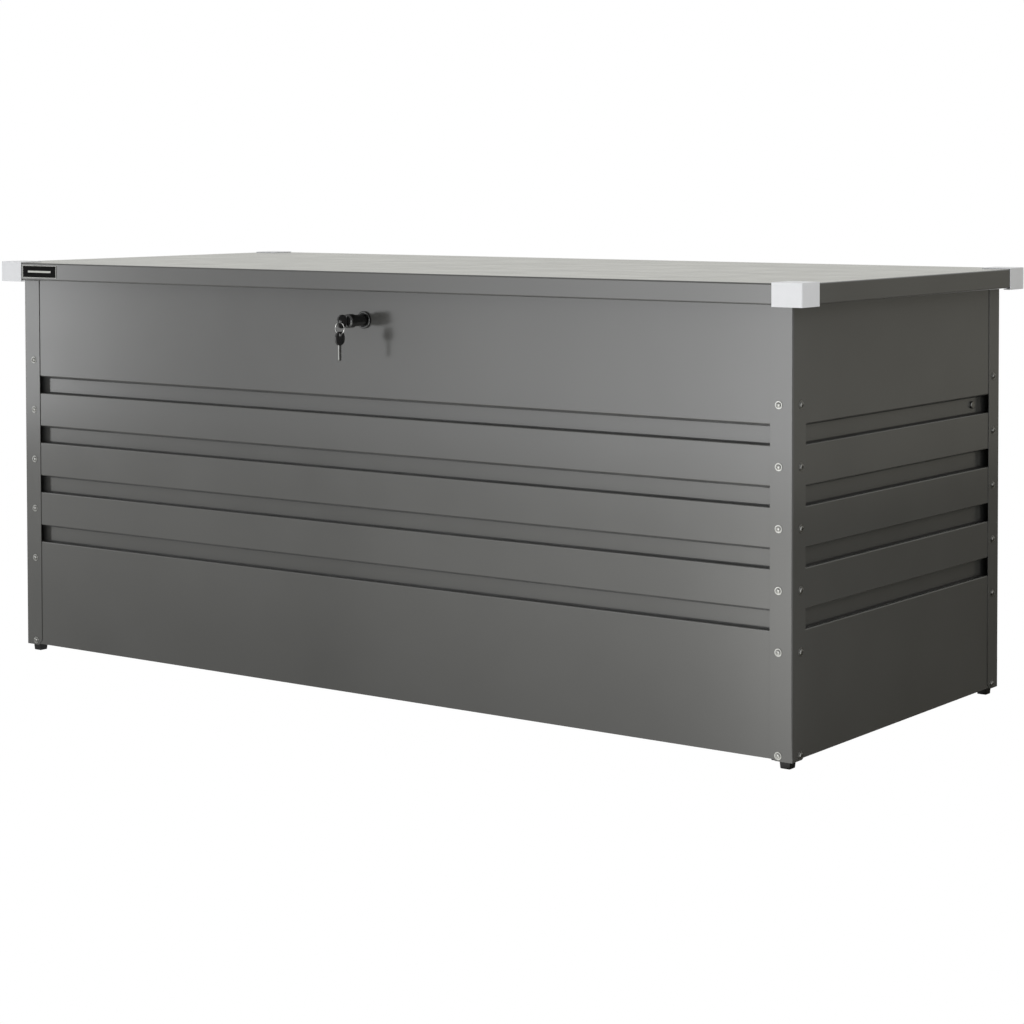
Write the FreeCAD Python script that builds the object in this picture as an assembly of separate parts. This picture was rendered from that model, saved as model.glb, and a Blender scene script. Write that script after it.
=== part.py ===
import FreeCAD, Part
import math
import os
from FreeCAD import Vector

# Deck storage box: a sheet-metal chest with a hinged, strut-held lid and a key lock.
# X runs along the length, the front faces -Y and Z is up. Millimetres. The sub-parts
# are drawn about the middle of the posts, and save() brings the origin to the floor
# under the middle of everything, keys included.

# Overall sizes
body_length = 1590.0      # over the corner posts
body_depth = 680.0
body_top = 690.0          # top of the posts, walls and rails
lid_step = 14.5           # top face of the lid's skin above them
lid_overhang_x = 28.8     # lid rim beyond the posts, each end
lid_overhang_y = 25.8
lid_rim_height = 31.1

# Sheets
wall_sheet = 0.8
post_sheet = 1.2
rail_sheet = 1.0
lid_sheet = 0.8
bend_radius = 1.6

# Corner posts and feet
post_flange = 38.0
post_bottom = 12.0
post_chamfer = 9.0
foot_size = 18.0
foot_inset = 8.0
foot_taper = 1.0
foot_block = 34.0
foot_block_height = 18.0

# Walls: four pressed grooves at the screws' pitch
wall_bottom = 14.0
groove_count = 4
groove_pitch = 89.5
groove_height = 29.0
groove_depth = 11.5
groove_undercut = 2.5     # the recess is taller behind its mouth, above and below
first_groove_top = 498.7
corner_gap = 0.5

# Post screws
screw_edge = 23.4
screw_low = 20.0
screw_first = 170.3
screw_shank_r = 2.0
screw_clearance = 0.2
screw_head_r = 4.1
screw_head_h = 2.4
washer_r = 6.0
washer_t = 0.8
screw_round = 1.44
screw_length = 10.0
nut_across = 7.0
nut_h = 3.0

# Top rails
rail_width = 20.0
rail_height = 24.0
rivet_r = 1.6
rivet_head_r = 3.4
rivet_head_h = 1.0
rivet_tail_r = 2.4
rivet_tail_h = 1.2
rivet_drop = 8.5
rivets_long = 4
rivets_short = 2

# Floor
floor_top = 33.0
floor_lip = 13.0
floor_gap = 0.6
floor_notch_gap = 4.0
bearer_low = 15.0
bearer_end_gap = 2.0
bearer_flange = 12.0
bearer_width = 60.0
bearer_count = 3

# Lid
cap_leg = 50.5
cap_wall = 1.2
cap_top = 1.5
cap_below = 2.9
cap_round = 3.0
cap_return_gap = 2.0
lid_corner_notch = 17.7
lid_return = 8.0
stiffener_width = 70.0
stiffener_flange = 14.0
stiffener_gap = 1.0
stiffener_end_gap = 6.0
stiffener_count = 3
badge_length = 85.0
badge_height = 22.0
badge_t = 1.0
badge_edge = 25.0
badge_drop = 4.5          # below the lid's top face

# Rear hinges
hinge_count = 3
hinge_pitch = 620.0
hinge_behind = 13.0       # pin behind the back posts
hinge_below = 15.0        # and below their tops
hinge_pin_r = 2.5
pin_beyond = 1.0
pin_head_r = 3.5
pin_head_t = 1.2
hinge_fit = 0.05
knuckle_r = 4.6
knuckle_gap = 0.4
hinge_length = 60.0
leaf_t = 1.5
leaf_drop = 34.0
leaf_relief = 1.4
leaf_top_gap = 2.4
leaf_rivet_x = 18.0
wall_rivet_drop = 24.0    # below the pin
lid_rivet_rise = 15.0     # above the pin

# Gas struts
strut_beside = 11.5       # strut's middle plane from the bracket's tongue
strut_foot_ahead = 78.0   # ball stud in front of the back posts' face
strut_head_ahead = 138.0
strut_head_below = 7.0    # under the tops of the posts, lid closed
strut_tube_r = 9.0
strut_tube_wall = 1.0
tube_end_t = 4.0
gland_t = 8.0
gland_gap = 2.0
piston_t = 7.0
piston_gap = 6.0
strut_rod_r = 4.0
strut_fit = 0.05
strut_socket_r = 8.0
strut_socket_half = 6.0
socket_stem_r = 5.0
socket_stem_out = 5.0
strut_ball_r = 5.0
strut_neck_r = 3.0
strut_neck_room = 1.2
strut_neck_clearance = 0.2
strut_bolt_head_r = 6.0
strut_bolt_head_h = 3.6
strut_bolt_round = 1.4
strut_collar_r = 7.0
strut_collar_t = 4.0
strut_open_gap = 0.6
bracket_t = 2.0
bracket_width = 26.0
bracket_plate = 26.0
bracket_tail = 8.0
bracket_rail_gap = 1.5

# Lock and keys
lock_below = 64.4         # under the tops of the posts
lock_hole_gap = 0.1
rosette_r = 14.0
rosette_t = 4.0
rosette_round = 1.5
barrel_r = 9.4
barrel_out = 30.0
barrel_in = 26.0
lock_fit = 0.06
lock_nut_gap = 0.05
lock_nut_r = 14.0         # over its corners
lock_nut_t = 4.0
plug_r = 6.0
plug_end_gap = 0.3
knob_r = 11.2
knob_length = 15.0
knob_round = 2.0
cam_square = 8.0
cam_t = 2.0
cam_width = 14.0
cam_length = 38.0
cam_corner = 5.0
cam_screw_r = 6.0
cam_screw_h = 2.5
keeper_width = 16.0
keeper_beside = 5.0       # clear of the raised cam
keeper_behind = 2.5
keeper_before = 1.5
keeper_below = 4.0
keeper_foot = 24.0
key_blade_w = 6.0
key_blade_t = 1.8
key_fit = 0.1
key_slot_depth = 26.0
key_tip_gap = 1.0
key_bow_length = 22.0
key_bow_width = 22.0
key_bow_t = 3.0
key_bow_corner = 9.5
key_root = 5.0           # how far the blade reaches into the bow
key_hole_r = 2.8
key_hole_edge = 5.6       # hole's centre from the end of the bow
ring_r = 9.2
ring_wire_r = 0.8
key_ring_gap = 0.5

past = 3.0                # how far a cutting tool runs past what it cuts

# Places that follow from the sizes
half_x = body_length / 2
half_y = body_depth / 2
wall_x = half_x - post_sheet
wall_y = half_y - post_sheet
lid_top = body_top + lid_step
lid_x = half_x + lid_overhang_x
lid_y = half_y + lid_overhang_y
hinge_pin_y = half_y + hinge_behind
hinge_pin_z = body_top - hinge_below
bracket_x = wall_x - wall_sheet - rail_width - bracket_rail_gap - bracket_t
strut_plane = bracket_x - strut_beside
strut_foot_y = half_y - strut_foot_ahead
strut_foot_z = first_groove_top - groove_height / 2
strut_head_y = half_y - strut_head_ahead
strut_head_z = body_top - strut_head_below
strut_bore_r = strut_tube_r - strut_tube_wall
socket_reach = strut_socket_r + socket_stem_out
screw_hole_r = screw_shank_r + screw_clearance
lock_height = body_top - lock_below
lock_end_y = barrel_in + plug_end_gap - wall_y
knob_face_y = -wall_y - barrel_out - knob_length
bow_end_y = knob_face_y - key_ring_gap
bow_hole_y = bow_end_y - key_bow_length + key_hole_edge
front_most_y = min(bow_end_y - key_bow_length, bow_hole_y - key_bow_width / 2)
middle_y = (front_most_y + lid_y + cap_wall) / 2

X = Vector(1, 0, 0)
Y = Vector(0, 1, 0)

os.makedirs("parts", exist_ok=True)


def save(shape, node):
    placed = shape.copy()
    placed.translate(Vector(0, -middle_y, 0))
    placed.exportStep("parts/" + node + ".step")


def box(x0, y0, z0, x1, y1, z1):
    return Part.makeBox(x1 - x0, y1 - y0, z1 - z0, Vector(x0, y0, z0))


def rod(radius, start, end):
    axis = end - start
    return Part.makeCylinder(radius, axis.Length, start, axis)


def hole(radius, at, axis):
    return rod(radius, at - axis * past, at + axis * past)


def fuse(shapes):
    return shapes[0].multiFuse(shapes[1:]).removeSplitter()


def group(shapes):
    return Part.makeCompound(shapes)


def mirror_x(shape):
    return shape.mirror(Vector(0, 0, 0), X)


def mirror_y(shape):
    return shape.mirror(Vector(0, 0, 0), Y)


def bent_sheet(path, thickness, to_3d, direction, radius=bend_radius):
    """Sheet with one face on path, bent at each corner, extruded along direction.

    The material lies to the right of the path, or to its left if thickness is negative.
    """
    rounded = []
    last = len(path) - 1
    for i, point in enumerate(path):
        p = Vector(point[0], point[1], 0)
        if i in (0, last):
            rounded.append((p, p, None, 0))
            continue
        before = (p - Vector(path[i - 1][0], path[i - 1][1], 0)).normalize()
        after = (Vector(path[i + 1][0], path[i + 1][1], 0) - p).normalize()
        turn = before.cross(after).z
        angle = math.acos(max(-1, min(1, before.dot(after))))
        inside = (turn > 0) == (thickness < 0)
        face_r = radius + abs(thickness) if inside else radius
        side = Vector(-before.y, before.x, 0) * (1 if turn > 0 else -1)
        reach = face_r * math.tan(angle / 2)
        start = p - before * reach
        rounded.append((start, p + after * reach, start + side * face_r, turn))
    outer = []
    inner = []
    for i in range(last):
        a = rounded[i][1]
        b = rounded[i + 1][0]
        step = (b - a).normalize()
        shift = Vector(step.y, -step.x, 0) * thickness
        outer.append(("line", a, b))
        inner.append(("line", a + shift, b + shift))
        start, end, centre, turn = rounded[i + 1]
        if centre is None:
            continue
        grow = 1 if turn > 0 else -1
        for edges, extra in ((outer, 0), (inner, grow * thickness)):
            r0 = (start - centre).Length
            scale = (r0 + extra) / r0
            s = centre + (start - centre) * scale
            e = centre + (end - centre) * scale
            mid = ((s - centre) + (e - centre)).normalize() * (r0 + extra) + centre
            edges.append(("arc", s, e, mid))
    edges = []
    for kind, *pts in outer + inner:
        placed = [to_3d(q.x, q.y) for q in pts]
        if kind == "line":
            edges.append(Part.LineSegment(placed[0], placed[1]).toShape())
        else:
            edges.append(Part.Arc(placed[0], placed[2], placed[1]).toShape())
    for end in (0, -1):
        which = 1 if end == 0 else 2
        a = outer[end][which]
        b = inner[end][which]
        edges.append(Part.LineSegment(to_3d(a.x, a.y), to_3d(b.x, b.y)).toShape())
    wire = Part.Wire(Part.__sortEdges__(edges))
    return Part.Face(wire).extrude(direction)


def post_screw_heights():
    return [screw_low] + [screw_first + groove_pitch * i for i in range(groove_count + 1)]


def wall_path(top):
    """Outside face of a wall, as (depth into the box, height), from the bottom up."""
    path = [(0, wall_bottom)]
    for i in reversed(range(groove_count)):
        high = first_groove_top - groove_pitch * i
        low = high - groove_height
        path.append((0, low))
        path.append((groove_depth, low - groove_undercut))
        path.append((groove_depth, high + groove_undercut))
        path.append((0, high))
    path.append((0, top))
    return path


def post():
    """Front-right corner post."""
    path = [(half_x - post_flange, -half_y), (half_x, -half_y), (half_x, -half_y + post_flange)]
    flat = [(px, py) for px, py in reversed(path)]
    shape = bent_sheet(flat, post_sheet, lambda u, v: Vector(u, v, post_bottom),
                       Vector(0, 0, body_top - post_bottom))
    x0 = half_x - post_flange
    y0 = -half_y + post_flange
    z0 = post_bottom
    c = post_chamfer
    front = Part.makePolygon([Vector(x0, -half_y - past, z0), Vector(x0 + c, -half_y - past, z0),
                              Vector(x0, -half_y - past, z0 + c), Vector(x0, -half_y - past, z0)])
    side_x = half_x - past
    side = Part.makePolygon([Vector(side_x, y0, z0), Vector(side_x, y0 - c, z0),
                             Vector(side_x, y0, z0 + c), Vector(side_x, y0, z0)])
    shape = shape.cut(Part.Face(front).extrude(Y * (2 * past)))
    shape = shape.cut(Part.Face(side).extrude(X * (2 * past)))
    return drill_corner(shape)


def corner_screw_axes():
    """Front-right corner: where each screw's head sits and which way its shank points."""
    axes = []
    for z in post_screw_heights():
        axes.append((Vector(half_x - screw_edge, -half_y, z), Y))
        axes.append((Vector(half_x, -half_y + screw_edge, z), X * -1))
    return axes


def drill_corner(shape):
    tools = []
    for at, inward in corner_screw_axes():
        tools.append(rod(screw_hole_r, at - inward * past, at + inward * (screw_length + past)))
    return shape.cut(group(tools))


def four_corners(shape):
    left = mirror_x(shape)
    return {"front_right": shape, "front_left": left,
            "back_right": mirror_y(shape), "back_left": mirror_y(left)}


def drill_all_corners(shape):
    for place in ("same", "x", "y", "xy"):
        moved = shape
        if "x" in place:
            moved = mirror_x(moved)
        if "y" in place:
            moved = mirror_y(moved)
        moved = drill_corner(moved)
        if "y" in place:
            moved = mirror_y(moved)
        if "x" in place:
            moved = mirror_x(moved)
        shape = moved
    return shape


def screw(at, inward):
    out = inward * -1
    washer = rod(washer_r, at, at + out * washer_t)
    seat = at + out * washer_t
    head = rod(screw_head_r, seat, seat + out * screw_head_h)
    head = head.makeFillet(screw_round, [e for e in head.Edges
                           if abs((e.CenterOfMass - seat).dot(out) - screw_head_h) < 1e-4
                           and e.Curve.TypeId == "Part::GeomCircle"])
    shank = rod(screw_shank_r, seat, at + inward * screw_length)
    return fuse([washer, head, shank])


def nut(at, inward):
    around = Vector(0, 0, 1)
    across = inward.cross(around)
    r = nut_across / math.sqrt(3)
    points = []
    for i in range(7):
        a = math.radians(60 * i)
        points.append(at + around * (r * math.cos(a)) + across * (r * math.sin(a)))
    body = Part.Face(Part.makePolygon(points)).extrude(inward * nut_h)
    return body.cut(rod(screw_shank_r, at - inward * past, at + inward * (nut_h + past)))


def front_wall():
    """Front wall between the corners, its ends stopping short of the side walls."""
    end = wall_x - groove_depth - wall_sheet - corner_gap
    path = [(d - wall_y, z) for d, z in wall_path(body_top)]
    shape = bent_sheet(path, wall_sheet, lambda u, v: Vector(-end, u, v), Vector(2 * end, 0, 0))
    return drill_all_corners(shape)


def side_wall():
    """Right-hand wall, its ends just inside the bends of the posts."""
    path = [(wall_x - d, z) for d, z in wall_path(body_top)]
    end = wall_y - bend_radius - corner_gap
    shape = bent_sheet(path, -wall_sheet, lambda u, v: Vector(u, -end, v), Vector(0, 2 * end, 0))
    shape = drill_all_corners(shape)
    at = Vector(wall_x - groove_depth, strut_foot_y, strut_foot_z)
    return shape.cut(hole(strut_neck_r + strut_neck_clearance, at, X))


def foot():
    """Front-right foot: a tapered pad under the post and a block inside it."""
    x1 = half_x - foot_inset
    y0 = -half_y + foot_inset
    t = foot_taper
    top = Part.makePolygon([Vector(x1 - foot_size, y0, post_bottom), Vector(x1, y0, post_bottom),
                            Vector(x1, y0 + foot_size, post_bottom),
                            Vector(x1 - foot_size, y0 + foot_size, post_bottom),
                            Vector(x1 - foot_size, y0, post_bottom)])
    low = Part.makePolygon([Vector(x1 - foot_size + t, y0 + t, 0), Vector(x1 - t, y0 + t, 0),
                            Vector(x1 - t, y0 + foot_size - t, 0),
                            Vector(x1 - foot_size + t, y0 + foot_size - t, 0),
                            Vector(x1 - foot_size + t, y0 + t, 0)])
    pad = Part.makeLoft([low, top], True)
    bx = wall_x - wall_sheet
    by = -wall_y + wall_sheet
    block = box(bx - foot_block, by, post_bottom, bx, by + foot_block,
                post_bottom + foot_block_height)
    shape = fuse([pad, block])
    bores = []
    for at, inward in corner_screw_axes()[:2]:
        bores.append(rod(screw_hole_r, at, at + inward * (screw_length + past)))
    return shape.cut(group(bores))


def rail_section(u_out, u_in):
    """Inverted channel: outer leg, top, inner leg. u is the distance from the middle."""
    low = body_top - rail_height
    return [(u_out, low), (u_out, body_top), (u_in, body_top), (u_in, low)]


def front_rail():
    u0 = -(wall_y - wall_sheet)
    u1 = u0 + rail_width
    end = wall_x - wall_sheet
    shape = bent_sheet(rail_section(u0, u1), rail_sheet, lambda u, v: Vector(-end, u, v),
                       Vector(2 * end, 0, 0))
    for x in rivet_stations(rivets_long, 2 * end):
        shape = shape.cut(hole(rivet_r, Vector(x, u0, body_top - rivet_drop), Y))
    return shape


def side_rail():
    u0 = wall_x - wall_sheet
    u1 = u0 - rail_width
    end = wall_y - wall_sheet - rail_width
    shape = bent_sheet(rail_section(u0, u1), -rail_sheet, lambda u, v: Vector(u, -end, v),
                       Vector(0, 2 * end, 0))
    for y in rivet_stations(rivets_short, 2 * end):
        shape = shape.cut(hole(rivet_r, Vector(u0, y, body_top - rivet_drop), X))
    return shape


def rivet_stations(count, length):
    step = length / count
    return [-length / 2 + step * (i + 0.5) for i in range(count)]


def rivet(at, inward, grip):
    """Blind rivet through two sheets."""
    shank = rod(rivet_r, at, at + inward * grip)
    head = rod(rivet_head_r, at - inward * rivet_head_h, at)
    tail = rod(rivet_tail_r, at + inward * grip, at + inward * (grip + rivet_tail_h))
    return fuse([shank, head, tail])


def wall_rivet_axes():
    """Where the rivets through walls and rails sit, and which way they point."""
    axes = []
    z = body_top - rivet_drop
    for x in rivet_stations(rivets_long, 2 * (wall_x - wall_sheet)):
        axes.append((Vector(x, -wall_y, z), Y))
        axes.append((Vector(x, wall_y, z), Y * -1))
    for y in rivet_stations(rivets_short, 2 * (wall_y - wall_sheet - rail_width)):
        axes.append((Vector(wall_x, y, z), X * -1))
        axes.append((Vector(-wall_x, y, z), X))
    return axes


def drill_at(shape, radius, axes):
    return shape.cut(group([hole(radius, at, axis) for at, axis in axes]))


def floor_span():
    """Half sizes of the space inside the pressed grooves."""
    clear = groove_depth + wall_sheet + corner_gap
    return wall_x - clear, wall_y - clear


def floor_panel():
    """Right half of the floor: a tray with folded-down lips, notched at the feet."""
    fx, fy = floor_span()
    x0 = floor_gap / 2
    skin = box(x0, -fy, floor_top - wall_sheet, fx, fy, floor_top)
    lip_low = floor_top - floor_lip
    notch = foot_block + floor_notch_gap
    lips = [box(fx - wall_sheet, -fy + notch, lip_low, fx, fy - notch, floor_top)]
    for side in (-1, 1):
        ya, yb = sorted((side * fy, side * (fy - wall_sheet)))
        lips.append(box(x0, ya, lip_low, fx - notch, yb, floor_top))
    return fuse([skin] + lips)


def bearer(x):
    """Hat section across the box, under the floor."""
    fx, fy = floor_span()
    top = floor_top - wall_sheet
    low = bearer_low
    h = bearer_width / 2
    w = bearer_flange
    end = fy - bearer_end_gap
    path = [(x - h - w, low), (x - h, low), (x - h, top), (x + h, top), (x + h, low),
            (x + h + w, low)]
    return bent_sheet(path, rail_sheet, lambda u, v: Vector(u, -end, v), Y * (2 * end))


def bearer_stations():
    fx, fy = floor_span()
    step = 2 * fx / (bearer_count + 1)
    return [-fx + step * (i + 1) for i in range(bearer_count)]


def lid_skin():
    """Lid tray: top sheet with its four edges folded down, open at the corners."""
    lx, ly = lid_x, lid_y
    low = lid_top - lid_rim_height
    notch = lid_corner_notch
    top = lid_top
    r = lid_return
    front = [(-ly + r, low), (-ly, low), (-ly, top), (0, top)]
    back = [(ly, low), (ly, top), (0, top)]
    right = [(lx - r, low), (lx, low), (lx, top), (0, top)]
    span_x = Vector(2 * (lx - notch), 0, 0)
    span_y = Vector(0, 2 * (ly - notch), 0)
    pieces = [bent_sheet(front, lid_sheet, lambda u, v: Vector(-lx + notch, u, v), span_x),
              bent_sheet(back, -lid_sheet, lambda u, v: Vector(-lx + notch, u, v), span_x),
              bent_sheet(right, -lid_sheet, lambda u, v: Vector(u, -ly + notch, v), span_y)]
    pieces.append(mirror_x(pieces[2]))
    inset = bend_radius + lid_sheet
    pieces.append(box(-lx + inset, -ly + inset, top - lid_sheet, lx - inset, ly - inset, top))
    return fuse(pieces)


def lid_cap():
    """Front-right plastic corner: two legs over the rim and a plate over the corner."""
    ox = lid_x + cap_wall
    oy = -lid_y - cap_wall
    low = lid_top - lid_rim_height - cap_below
    high = lid_top + cap_top
    shell = box(ox - cap_leg, oy, low, ox, oy + cap_leg, high)
    up = [e for e in shell.Edges if abs(e.CenterOfMass.x - ox) < 1e-6
          and abs(e.CenterOfMass.y - oy) < 1e-6]
    shell = shell.makeFillet(cap_round, up)
    inner = box(ox - cap_leg - past, -lid_y, low + cap_wall, lid_x, oy + cap_leg + past, lid_top)
    lip = lid_return + cap_return_gap
    hollow = box(ox - cap_leg - past, -lid_y + lip, low - past, lid_x - lip,
                 oy + cap_leg + past, low + cap_wall + past)
    return shell.cut(inner).cut(hollow)


def lid_stiffener(x):
    """Hat section under the skin, resting over the front and back rails."""
    top = lid_top - lid_sheet
    low = body_top + stiffener_gap + rail_sheet
    h = stiffener_width / 2
    w = stiffener_flange
    reach = wall_y - stiffener_end_gap
    path = [(x - h - w, top), (x - h, top), (x - h, low), (x + h, low), (x + h, top),
            (x + h + w, top)]
    return bent_sheet(path, rail_sheet, lambda u, v: Vector(u, -reach, v),
                      Vector(0, 2 * reach, 0))


def stiffener_stations():
    step = body_length / (stiffener_count + 1)
    return [-half_x + step * (i + 1) for i in range(stiffener_count)]


def badge():
    x0 = -half_x + badge_edge
    top = lid_top - badge_drop
    return box(x0, -lid_y - badge_t, top - badge_height, x0 + badge_length, -lid_y, top)


def hinge_stations():
    return [hinge_pitch * (i - (hinge_count - 1) / 2) for i in range(hinge_count)]


def knuckle_spans(own_side):
    """Five knuckles: three on the wall leaf, two on the lid leaf."""
    step = hinge_length / 5
    spans = []
    for i in range(5):
        if (i % 2 == 0) == own_side:
            spans.append((-hinge_length / 2 + step * i + knuckle_gap / 2,
                          -hinge_length / 2 + step * (i + 1) - knuckle_gap / 2))
    return spans


def wall_leaf(x):
    """Leaf on the back wall with its three knuckles."""
    bore = rod(hinge_pin_r, Vector(x - hinge_length, hinge_pin_y, hinge_pin_z),
               Vector(x + hinge_length, hinge_pin_y, hinge_pin_z))
    h = hinge_length / 2
    low = hinge_pin_z - knuckle_r
    plate = box(x - h, wall_y, hinge_pin_z - leaf_drop, x + h, wall_y + leaf_t,
                low - leaf_relief)
    pieces = [plate]
    for a, b in knuckle_spans(True):
        pieces.append(rod(knuckle_r, Vector(x + a, hinge_pin_y, hinge_pin_z),
                          Vector(x + b, hinge_pin_y, hinge_pin_z)))
        pieces.append(box(x + a, wall_y, low - leaf_relief, x + b, wall_y + leaf_t, low + leaf_t))
        pieces.append(box(x + a, wall_y, low, x + b, hinge_pin_y, low + leaf_t))
    return drill_at(fuse(pieces).cut(bore), rivet_r, wall_leaf_rivet_axes())


def lid_leaf(x):
    """Leaf inside the lid's rear rim with its two knuckles."""
    inner = lid_y - lid_sheet
    bore = rod(hinge_pin_r + hinge_fit, Vector(x - hinge_length, hinge_pin_y, hinge_pin_z),
               Vector(x + hinge_length, hinge_pin_y, hinge_pin_z))
    h = hinge_length / 2
    low = hinge_pin_z + knuckle_r - leaf_t
    plate = box(x - h, inner - leaf_t, low + leaf_t, x + h, inner, lid_top - leaf_top_gap)
    pieces = [plate]
    for a, b in knuckle_spans(False):
        pieces.append(rod(knuckle_r, Vector(x + a, hinge_pin_y, hinge_pin_z),
                          Vector(x + b, hinge_pin_y, hinge_pin_z)))
        pieces.append(box(x + a, hinge_pin_y, low, x + b, inner, low + leaf_t))
    return drill_at(fuse(pieces).cut(bore), rivet_r, lid_leaf_rivet_axes())


def hinge_pin(x):
    h = hinge_length / 2 + pin_beyond
    middle = Vector(x, hinge_pin_y, hinge_pin_z)
    pieces = [rod(hinge_pin_r, middle - X * h, middle + X * h)]
    for out in (X, X * -1):
        pieces.append(rod(pin_head_r, middle + out * h, middle + out * (h + pin_head_t)))
    return fuse(pieces)


def leaf_rivet_axes(face_y, z):
    axes = []
    for x in hinge_stations():
        for side in (-1, 1):
            axes.append((Vector(x + side * leaf_rivet_x, face_y, z), Y * -1))
    return axes


def wall_leaf_rivet_axes():
    return leaf_rivet_axes(wall_y + leaf_t, hinge_pin_z - wall_rivet_drop)


def lid_leaf_rivet_axes():
    return leaf_rivet_axes(lid_y, hinge_pin_z + lid_rivet_rise)


def strut_ends():
    foot_at = Vector(strut_plane, strut_foot_y, strut_foot_z)
    head_at = Vector(strut_plane, strut_head_y, strut_head_z)
    return foot_at, head_at, (head_at - foot_at).normalize()


def strut_stud():
    """Right ball stud: bolt head in the groove, hex inside the wall, neck and ball."""
    foot_at, head_at, along = strut_ends()
    outside = Vector(wall_x - groove_depth, strut_foot_y, strut_foot_z)
    inside = outside - X * wall_sheet
    head = rod(strut_bolt_head_r, outside, outside + X * strut_bolt_head_h)
    head = head.makeFillet(strut_bolt_round, [e for e in head.Edges
                                 if abs(e.CenterOfMass.x - outside.x - strut_bolt_head_h) < 1e-4
                                 and e.Curve.TypeId == "Part::GeomCircle"])
    collar = rod(strut_collar_r, inside, inside - X * strut_collar_t)
    neck = rod(strut_neck_r, outside, foot_at)
    ball = Part.makeSphere(strut_ball_r, foot_at)
    return fuse([head, collar, neck, ball])


def socket(at, along, hollow):
    """Cup joint, its axis across the box, with a stem towards the strut."""
    body = rod(strut_socket_r, at - X * strut_socket_half, at + X * strut_socket_half)
    stem = rod(socket_stem_r, at, at + along * socket_reach)
    shape = fuse([body, stem])
    if hollow:
        shape = shape.cut(Part.makeSphere(strut_ball_r + strut_fit, at))
        mouth = at + X * (strut_socket_half + past)
        shape = shape.cut(rod(strut_neck_r + strut_neck_room, at, mouth))
    return shape


def strut_tube():
    """Cylinder of the right strut, with the gland the rod runs in."""
    foot_at, head_at, along = strut_ends()
    length = (head_at - foot_at).Length
    start = foot_at + along * socket_reach
    end = foot_at + along * (length - socket_reach - gland_gap)
    tube = rod(strut_tube_r, start, end)
    tube = tube.cut(rod(strut_bore_r, start + along * tube_end_t, end - along * gland_t))
    gland = rod(strut_rod_r + strut_fit, end - along * (gland_t + past), end + along * past)
    return tube.cut(gland)


def strut_rod():
    foot_at, head_at, along = strut_ends()
    start = foot_at + along * (socket_reach + piston_gap)
    stem = rod(strut_rod_r, start, head_at - along * socket_reach)
    piston = rod(strut_bore_r - strut_fit, start, start + along * piston_t)
    return fuse([stem, piston])


def lid_bracket():
    """Right strut bracket: plate under the skin, tongue down past the rail, short stud."""
    top = lid_top - lid_sheet
    x1 = strut_plane + strut_socket_half + strut_open_gap
    x2 = bracket_x + bracket_t
    y0 = strut_head_y - bracket_width / 2
    y1 = y0 + bracket_width
    plate = box(bracket_x - bracket_plate, y0, top - bracket_t, x2, y1, top)
    tongue = box(bracket_x, y0, strut_head_z - bracket_tail, x2, y1, top)
    stud = rod(strut_neck_r, Vector(x1, strut_head_y, strut_head_z),
               Vector(bracket_x, strut_head_y, strut_head_z))
    return fuse([plate, tongue, stud])


def lock_point(y):
    return Vector(0, y, lock_height)


def lock_body():
    """Lock housing: rosette on the front wall, round neck, threaded end inside."""
    front = -wall_y
    rosette = rod(rosette_r, lock_point(front - rosette_t), lock_point(front))
    edge = [e for e in rosette.Edges if abs(e.CenterOfMass.y - front + rosette_t) < 1e-4
            and e.Curve.TypeId == "Part::GeomCircle"]
    rosette = rosette.makeFillet(rosette_round, edge)
    neck = rod(barrel_r, lock_point(front - barrel_out), lock_point(front + barrel_in))
    shape = fuse([rosette, neck])
    return shape.cut(rod(plug_r + lock_fit, lock_point(front - barrel_out - past),
                         lock_point(front + barrel_in + past)))


def lock_nut():
    front = -wall_y + wall_sheet
    points = []
    for i in range(7):
        a = math.radians(60 * i)
        points.append(Vector(lock_nut_r * math.cos(a), front,
                             lock_height + lock_nut_r * math.sin(a)))
    body = Part.Face(Part.makePolygon(points)).extrude(Y * lock_nut_t)
    bore = rod(barrel_r + lock_nut_gap, lock_point(front - past),
               lock_point(front + lock_nut_t + past))
    return body.cut(bore)


def key_slot(grow):
    """Space of the key blade inside the plug."""
    w = key_blade_w / 2 + grow
    t = key_blade_t / 2 + grow
    return box(-t, knob_face_y - past, lock_height - w, t, knob_face_y + key_slot_depth,
               lock_height + w)


def lock_plug():
    """Turning plug with its round knob outside and a square for the cam inside."""
    knob_back = -wall_y - barrel_out - plug_end_gap
    knob = rod(knob_r, lock_point(knob_face_y), lock_point(knob_back))
    edge = [e for e in knob.Edges if abs(e.CenterOfMass.y - knob_face_y) < 1e-4
            and e.Curve.TypeId == "Part::GeomCircle"]
    knob = knob.makeFillet(knob_round, edge)
    core = rod(plug_r, lock_point(knob_back), lock_point(lock_end_y))
    h = cam_square / 2
    square = box(-h, lock_end_y, lock_height - h, h, lock_end_y + cam_t, lock_height + h)
    shape = fuse([knob, core, square])
    return shape.cut(key_slot(key_fit))


def lock_cam():
    """Flat cam, pointing up when the lid is free."""
    y0 = lock_end_y
    blade = box(-cam_width / 2, y0, lock_height, cam_width / 2, y0 + cam_t,
                lock_height + cam_length)
    tip = [e for e in blade.Edges if abs(e.CenterOfMass.z - lock_height - cam_length) < 1e-4
           and abs(abs(e.CenterOfMass.x) - cam_width / 2) < 1e-4]
    blade = blade.makeFillet(cam_corner, tip)
    hub = rod(cam_width / 2, lock_point(y0), lock_point(y0 + cam_t))
    h = cam_square / 2
    square = box(-h, y0 - past, lock_height - h, h, y0 + cam_t + past, lock_height + h)
    return fuse([blade, hub]).cut(square)


def cam_screw():
    y0 = lock_end_y + cam_t
    return rod(cam_screw_r, lock_point(y0), lock_point(y0 + cam_screw_h))


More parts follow.
